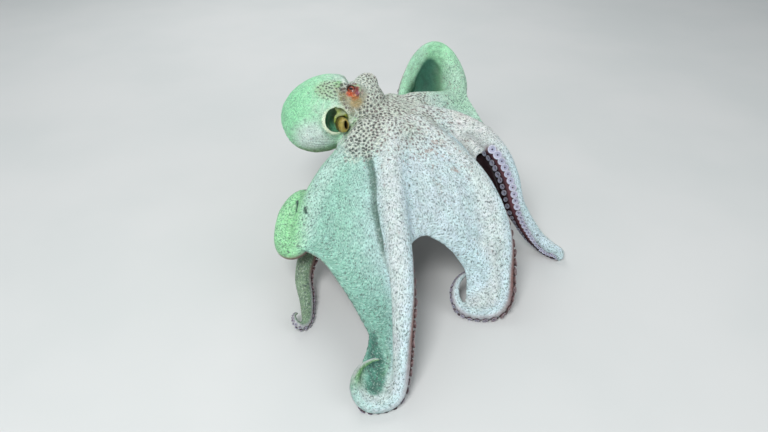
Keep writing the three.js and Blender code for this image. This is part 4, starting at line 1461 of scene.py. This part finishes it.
def make_skin():
    """The one skin of arms, webs, crown, head and mantle, returned as points and quads."""
    field, rim = body_field()
    points, quads = skin_surface(field)
    links = edges_of(quads)
    points = averaged(points, links, 3, 0.5, 0.52)
    normals = normals_of(points, quads)
    k = knowledge(points, normals)
    covered = owned(k, "l1") * smoothstep(0.365, 0.335, k["share"]) * smoothstep(-0.3, 0.0, normals @ TOWARD)
    k["oral"] = averaged((k["oral"] * (1 - covered * (1 - k["fold_shade"])))[:, None], links, 3)[:, 0]
    k["lie"] = np.where((k["seam_side"] > 0.5)[:, None], averaged(k["lie_web"], links, 10), k["lie_arm"])
    k["hollow"] = hollow_share(points, k)
    lifted = relief(points, k)
    points = points + normals * lifted[:, None]
    points[:, 2] = np.maximum(points[:, 2], 0)
    normals = normals_of(points, quads)
    blush = smoothstep(75, 20, far_from(points, (84, -98, 172))) * (1 - k["oral"])
    ridge = smoothstep(0.1, 0.9, k["up"]) * smoothstep(1.3, 0.5, np.abs(k["across"])) * (1 - k["body"])
    soft = averaged(np.column_stack([k["on_web"], ridge]), links, 40)
    tint = averaged(tints(points, dict(k, on_web=soft[:, 0], ridge=soft[:, 1]), rim), links, 1)
    attributes = dict(tint=tint, lie=k["lie"], seam=k["seam"], blush=0.75 * blush)
    attributes.update(spot_attributes(points, k))
    flesh = [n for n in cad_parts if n.startswith(("arm_", "web_")) or n in ("mantle", "head", "crown")]
    mesh_object("octopus_skin", points, [quads], attributes, skin_material(), stands_for=flesh)
    return points, quads


# ---- eyes ----
PUPIL = V(0.30, 0.14)  # half-length and half-height, in eyeball radii


def eye_material():
    """A red-brown iris of fibres round a black pupil."""
    g = Graph("octopus_eye")
    look = g.attribute("look", "Vector")
    parts = g.node("SeparateXYZ", {0: look}).outputs
    radial = g.math("SQRT", g.plus(g.math("POWER", parts[1], 2.0), g.math("POWER", parts[2], 2.0)))
    fibres = g.noise(g.scaled(look, (2.0, 6.0, 6.0)), 2.4, 4, 0.7)
    iris = g.mix(g.ramp(radial, 0.34, 0.62), g.stops(fibres, IRIS_SHADES), (0.12, 0.03, 0.03))
    slit = g.plus(g.math("POWER", g.math("ABSOLUTE", g.math("DIVIDE", parts[1], PUPIL[0])), 3.0),
                  g.math("POWER", g.math("ABSOLUTE", g.math("DIVIDE", parts[2], PUPIL[1])), 2.4))
    iris = g.mix(g.times(g.ramp(slit, 3.2, 1.3), 0.55), iris, (0.10, 0.02, 0.02))
    colour = g.mix(g.ramp(slit, 1.2, 0.9), iris, (0.004, 0.003, 0.004))
    normal = g.bump(fibres, 0.0003, 0.3)
    return g.finish(Base_Color=colour, Roughness=0.34, Normal=normal, Coat_Weight=0.35, Coat_Roughness=0.16)


def make_eyes():
    """The two eyeballs, which swell a little over the iris."""
    material = eye_material()
    for side, name in ((1, "eye_right"), (-1, "eye_left")):
        axes = eye_frame(side)
        turns = np.linspace(0, math.pi, 49)
        profile = [(max(EYE_RADIUS * math.sin(t), 0.01), -EYE_RADIUS * math.cos(t)) for t in turns]
        points, quads, tris = lathe(profile, eye_centre(side), axes[0], 96)
        q = (points - eye_centre(side)) @ axes.T / EYE_RADIUS
        swell = 0.35 * smoothstep(0.75, 1.0, q[:, 0])
        points += axes[0] * swell[:, None]
        mesh_object(name + "_ball", points, [quads, tris], dict(look=q), material, [name])


# ---- suckers ----
# radius and height of a sucker's section, in diameters: stalk, rim, cup and the hole in its middle
SUCKER = [(0.42, -0.3), (0.40, 0.02), (0.46, 0.14), (0.5, 0.22), (0.49, 0.28), (0.45, 0.31), (0.38, 0.29),
          (0.30, 0.25), (0.2, 0.215), (0.12, 0.2), (0.08, 0.17), (0.055, 0.1), (0.01, 0.05)]
# where an arm's suckers are turned to one side: the shares between which they are, and by how much
SUCKER_TURNS = {"l2": (0.40, 1.01, -0.5), "r2": (0.74, 1.01, 0.95), "r3": (0.36, 0.92, -0.9)}


SUCKER_BIG_SIDE = {"l1": 1}  # the arm whose suckers are larger on one side, and that side
# the shares of an arm between which folds of skin cover its suckers
HIDDEN_SUCKERS = {"l1": (0.1, 0.355), "r3": (0.36, 0.92), "r2": (0.86, 1.01)}
BIG_SUCKER = 0.14  # how much larger the suckers of the larger side are, and how much smaller the others


def hidden(name, f):
    """Whether a fold of skin covers an arm's suckers there."""
    start, end = HIDDEN_SUCKERS.get(name, (2, 2))
    return start < f < end


def sucker_rows(name, surface):
    """(centre, axis, diameter, tone) of each sucker in two staggered rows from the mouth to the tip."""
    arm = arms[name]
    out, start = root_start(arm)
    steps = int(np.linalg.norm(arm.p[3] - start) / SAMPLE_STEP)
    t = np.linspace(0, 1, steps, endpoint=False)[:, None]
    line = np.vstack([lerp(start, arm.p[3], t), arm.p[3:]])
    smooth_side = np.vstack([lerp(UP, arm.n[3], t), arm.n[3:]])
    sideways = np.vstack([lerp(np.cross(out, UP), arm.b[3], t), arm.b[3:]])
    radius = np.r_[lerp(ROOT_RADIUS, arm.r[3], t[:, 0]), arm.r[3:]]
    share = np.r_[np.zeros(steps), arm.f[3:]]
    run = np.r_[0, np.cumsum(np.linalg.norm(np.diff(line, axis=0), axis=1))]
    low, high, turned = SUCKER_TURNS.get(name, (0, 0, 0))
    s, side = 3.0, 1
    while s < run[-1] - 1.0:
        at = lambda v: np.array([np.interp(s, run, v[:, c]) for c in range(3)])
        r, f = np.interp(s, run, radius), np.interp(s, run, share)
        luck = hashed(np.array([[int(s * 10), len(name), ord(name[1])]]), ord(name[0]))[0]
        big = side * SUCKER_BIG_SIDE.get(name, 0)
        size = 0.8 * r * smoothstep(-25, 55, s) * lerp(0.9, 1.08, luck)
        if big:
            size *= lerp(0.8, 0.55, smoothstep(0.5, 0.85, f)) * (1 + BIG_SUCKER * big)
        size = max(size, 1.4)
        shift = turned * smoothstep(low - 0.08, low + 0.02, f) * smoothstep(high + 0.01, high - 0.06, f)
        ray = unit(-at(smooth_side) * 0.86 + at(sideways) * (side * 0.51 + shift))
        hit, normal, _, _ = surface.ray_cast(Vector(at(line)), Vector(ray), float(r * 1.7))
        if hit is not None and not hidden(name, f):
            tilt = V(luck - 0.5, math.sin(40 * luck) / 2, math.cos(70 * luck) / 2) * 0.3
            axis = unit(0.55 * np.array(normal) + 0.45 * ray + tilt)
            yield np.array(hit), axis, size, (0.2 * luck + 0.4 + 0.3 * big, f)
        s += (0.48 if big else 0.56) * size / (1 + BIG_SUCKER * big)
        side = -side


def sucker_material():
    """Pale or dull suckers, with rays in the cup, and painted shade under the rims and in the holes."""
    g = Graph("octopus_suckers")
    place = g.node("TexCoord").outputs["Object"]
    ring = g.attribute("ring")
    disc = g.node("SeparateXYZ", {0: g.attribute("disc", "Vector")}).outputs
    colour = g.mix(g.attribute("pale"), g.stops(ring, DULL_SUCKER), g.stops(ring, PALE_SUCKER))
    tone = g.ramp(disc[2], 0.0, 1.0, 0.45, 0.98)
    spin = g.math("ARCTAN2", disc[1], disc[0])
    rays = g.math("SINE", g.times(spin, 22.0))
    on_cup = g.times(g.ramp(ring, 0.3, 0.45), g.ramp(ring, 0.85, 0.7))
    rays = g.times(rays, on_cup)
    mottle = g.ramp(g.noise(place, 700, 3, 0.6), 0.3, 0.7, 0.82, 1.1)
    light = g.times(g.times(mottle, tone), g.math("MULTIPLY_ADD", rays, 0.06, 1.0))
    colour = g.mix(1.0, colour, g.grey(light), "MULTIPLY")
    normal = g.bump(g.plus(g.times(rays, 0.4), g.noise(place, 1500, 2)), 0.0003, 0.45)
    return g.finish(Base_Color=colour, Roughness=0.42, Normal=normal,
                    Subsurface_Weight=0.08, Subsurface_Scale=0.002)


def make_suckers(surface):
    """All the suckers as one piece."""
    columns = dict(points=[], quads=[], tris=[], ring=[], disc=[], pale=[])
    start = 0
    for name in arms:
        for centre, axis, size, (tone, f) in sucker_rows(name, surface):
            sides = 22 if size > 8 else 14 if size > 4 else 9
            p, q, t = lathe([(r * size, h * size) for r, h in SUCKER], centre, axis, sides)
            ring = np.repeat(np.linspace(0, 1, len(SUCKER)), sides)
            spin = np.tile(angles(sides), len(SUCKER))
            wide = np.repeat([r for r, _ in SUCKER], sides)
            disc = np.column_stack([wide * np.cos(spin), wide * np.sin(spin), np.full(len(spin), tone)])
            p[:, 2] = np.maximum(p[:, 2], 0.05)
            paleness = 1 if name == "l1" else lerp(0.1, 0.75, smoothstep(0.68, 0.8, f))
            columns["points"].append(p)
            columns["quads"].append(q + start)
            columns["tris"].append(t + start)
            columns["ring"].append(np.r_[ring, 0, 1])
            columns["disc"].append(np.vstack([disc, [[0, 0, tone], [0, 0, tone]]]))
            columns["pale"].append(np.full(len(p), paleness))
            start += len(p)
    joined = {key: np.concatenate(parts) for key, parts in columns.items()}
    values = {key: joined[key] for key in ("ring", "disc", "pale")}
    mesh_object("suckers", joined["points"], [joined["quads"], joined["tris"]], values, sucker_material())


# ---- funnel ----


def funnel_material():
    """Yellow-brown with fine veins, painted shade on one side of the tube, a paler end, and painted shade in
    the mouth.
    """
    g = Graph("octopus_funnel")
    place = g.node("TexCoord").outputs["Object"]
    ring, turn = g.attribute("ring"), g.attribute("turn")
    # painted shade: one side of the tube darker than the other
    body = g.mix(g.ramp(turn, -0.5, 0.8), (0.34, 0.25, 0.05), (0.13, 0.12, 0.03))
    colour = g.mix(g.ramp(ring, 0.74, 0.80), body, (0.42, 0.34, 0.08))
    veins = g.noise(g.scaled(place, (1, 1, 0.35)), 380, 4, 0.65)
    colour = g.mix(g.ramp(veins, 0.42, 0.68, 0.0, 0.75), colour, (0.20, 0.13, 0.02))
    # painted shade inside the slit of the mouth
    colour = g.mix(g.ramp(ring, 0.85, 0.92), colour, (0.10, 0.07, 0.015))
    return g.finish(Base_Color=colour, Roughness=0.42, Normal=g.bump(veins, 0.0009, 0.8),
                    Subsurface_Weight=0.1, Subsurface_Scale=0.003)


FUNNEL_PATH = [(-64, -2, 181), (-64, -12, 185), (-62, -25, 189), (-58, -38, 194.5)]
FUNNEL_RADII = [11, 12.5, 12.5, 11.5]
FUNNEL_NARROWNESS = 0.73
FUNNEL_SLIT = V(2.6, 6.5)
FUNNEL_LEAN = 3.0  # how far its slit lies to one side
# the funnel's end, first its dome and then the slit's inside: how far it lies ahead of the tube's last ring,
# and how far the section has narrowed to the slit
FUNNEL_END = [(2.0, 0.09), (3.6, 0.22), (4.9, 0.4), (5.7, 0.6), (6.0, 0.8), (5.6, 0.95), (4.2, 1.03),
              (1.5, 1.06), (-4, 1.02), (-8, 0.96), (-12, 0.9)]


def make_funnel():
    """A bent tube that swells, with a domed end and a slit for a mouth."""
    sides, steps = 72, 40
    course = spline(FUNNEL_PATH, steps)
    ahead = unit(np.gradient(course, axis=0))
    down = np.interp(np.linspace(0, 3, steps + 1), range(4), FUNNEL_RADII)
    size = np.column_stack([down * FUNNEL_NARROWNESS, down])
    offset = np.zeros(steps + 1)
    end = size[-1]
    for forward, share in FUNNEL_END:
        course = np.vstack([course, course[steps] + ahead[steps] * forward])
        ahead = np.vstack([ahead, ahead[steps]])
        size = np.vstack([size, lerp(end, FUNNEL_SLIT, share)])
        offset = np.r_[offset, FUNNEL_LEAN * min(share, 1)]
    across = unit(np.cross(ahead, UP))
    below = np.cross(ahead, across)
    a = angles(sides)
    out = circle(a, across, below)
    rings = course[:, None] - across[:, None] * offset[:, None, None]
    rings = rings + (size[:, :1] * np.cos(a))[..., None] * across[:, None]
    rings = rings + (size[:, 1:] * np.sin(a))[..., None] * below[:, None]
    points, quads, tris = tube(rings)
    ring = np.repeat(np.arange(len(course)) / (len(course) - 1), sides)
    swell = 0.7 * octaves(points[:-2] / 7, 2, 81) * smoothstep(0, 0.2, ring)
    swell *= smoothstep(0.86, 0.8, ring)
    points[:-2] += out.reshape(-1, 3) * swell[:, None]
    values = dict(ring=np.r_[ring, 0, 1], turn=np.r_[np.tile(np.cos(a), len(course)), 0, 0])
    mesh_object("funnel_tube", points, [quads, tris], values, funnel_material(), ["funnel"])


# ---- stage ----
STAGE_MIDDLE = V(5, -63, 0)
LAMP_AIM = V(10, -40, 120)
# each lamp's place from there in metres, its size and its power
LAMPS = {
    "key": ((-0.45, -1.25, 1.5), 0.7, 24),
    "fill": ((1.4, -0.7, 1.0), 1.4, 5),
    "back": ((-0.4, 1.5, 1.3), 1.2, 13),
}
CAMERA_AIM = V(5, -63, 39)
CAMERA_DISTANCE = 1000
CAMERA_TILT = math.radians(35)


def lamp(scene, name, place, size, power):
    data = bpy.data.lights.new(name, "AREA")
    data.size = size
    data.energy = power
    light = bpy.data.objects.new(name, data)
    light.location = Vector(metres(LAMP_AIM)) + Vector(place)
    light.rotation_euler = (-Vector(place)).to_track_quat("-Z", "Y").to_euler()
    scene.collection.objects.link(light)


def camera(scene):
    seen_by = bpy.data.objects.new("camera", bpy.data.cameras.new("camera"))
    seen_by.data.lens = 28
    seen_by.data.sensor_width = 36
    back = V(0, -math.cos(CAMERA_TILT), math.sin(CAMERA_TILT))
    seen_by.location = Vector(metres(CAMERA_AIM + CAMERA_DISTANCE * back))
    seen_by.rotation_euler = (math.pi / 2 - CAMERA_TILT, 0, 0)
    scene.collection.objects.link(seen_by)
    scene.camera = seen_by


def stage():
    """The floor, the sky, the lamps and the camera."""
    scene = bpy.context.scene
    x, y, _ = metres(STAGE_MIDDLE)
    bpy.ops.mesh.primitive_plane_add(size=30, location=(x, y, 0))
    floor = bpy.context.object
    floor.name = "floor"
    g = Graph("floor")
    speck = g.noise(g.node("TexCoord").outputs["Object"], 3.0, 3)
    colour = g.mix(g.ramp(speck, 0.3, 0.7), (0.66, 0.68, 0.67), (0.7, 0.71, 0.7))
    floor.data.materials.append(g.finish(Base_Color=colour, Roughness=0.75))
    floor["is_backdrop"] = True
    world = bpy.data.worlds.new("studio")
    world.use_nodes = True
    sky = world.node_tree.nodes["Background"]
    sky.inputs["Color"].default_value = (0.9, 0.96, 1, 1)
    sky.inputs["Strength"].default_value = 0.42
    scene.world = world
    for name, (place, size, power) in LAMPS.items():
        lamp(scene, name, place, size, power)
    camera(scene)
    scene.view_settings.view_transform = "Standard"


skin_points, skin_quads = make_skin()
surface = BVHTree.FromPolygons([tuple(p) for p in skin_points], [tuple(q) for q in skin_quads])
make_suckers(surface)
make_eyes()
make_funnel()
stage()

sides = {"cad": cad_box, "visual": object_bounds()}
{k: [list(corner) for corner in box] for k, box in sides.items()}
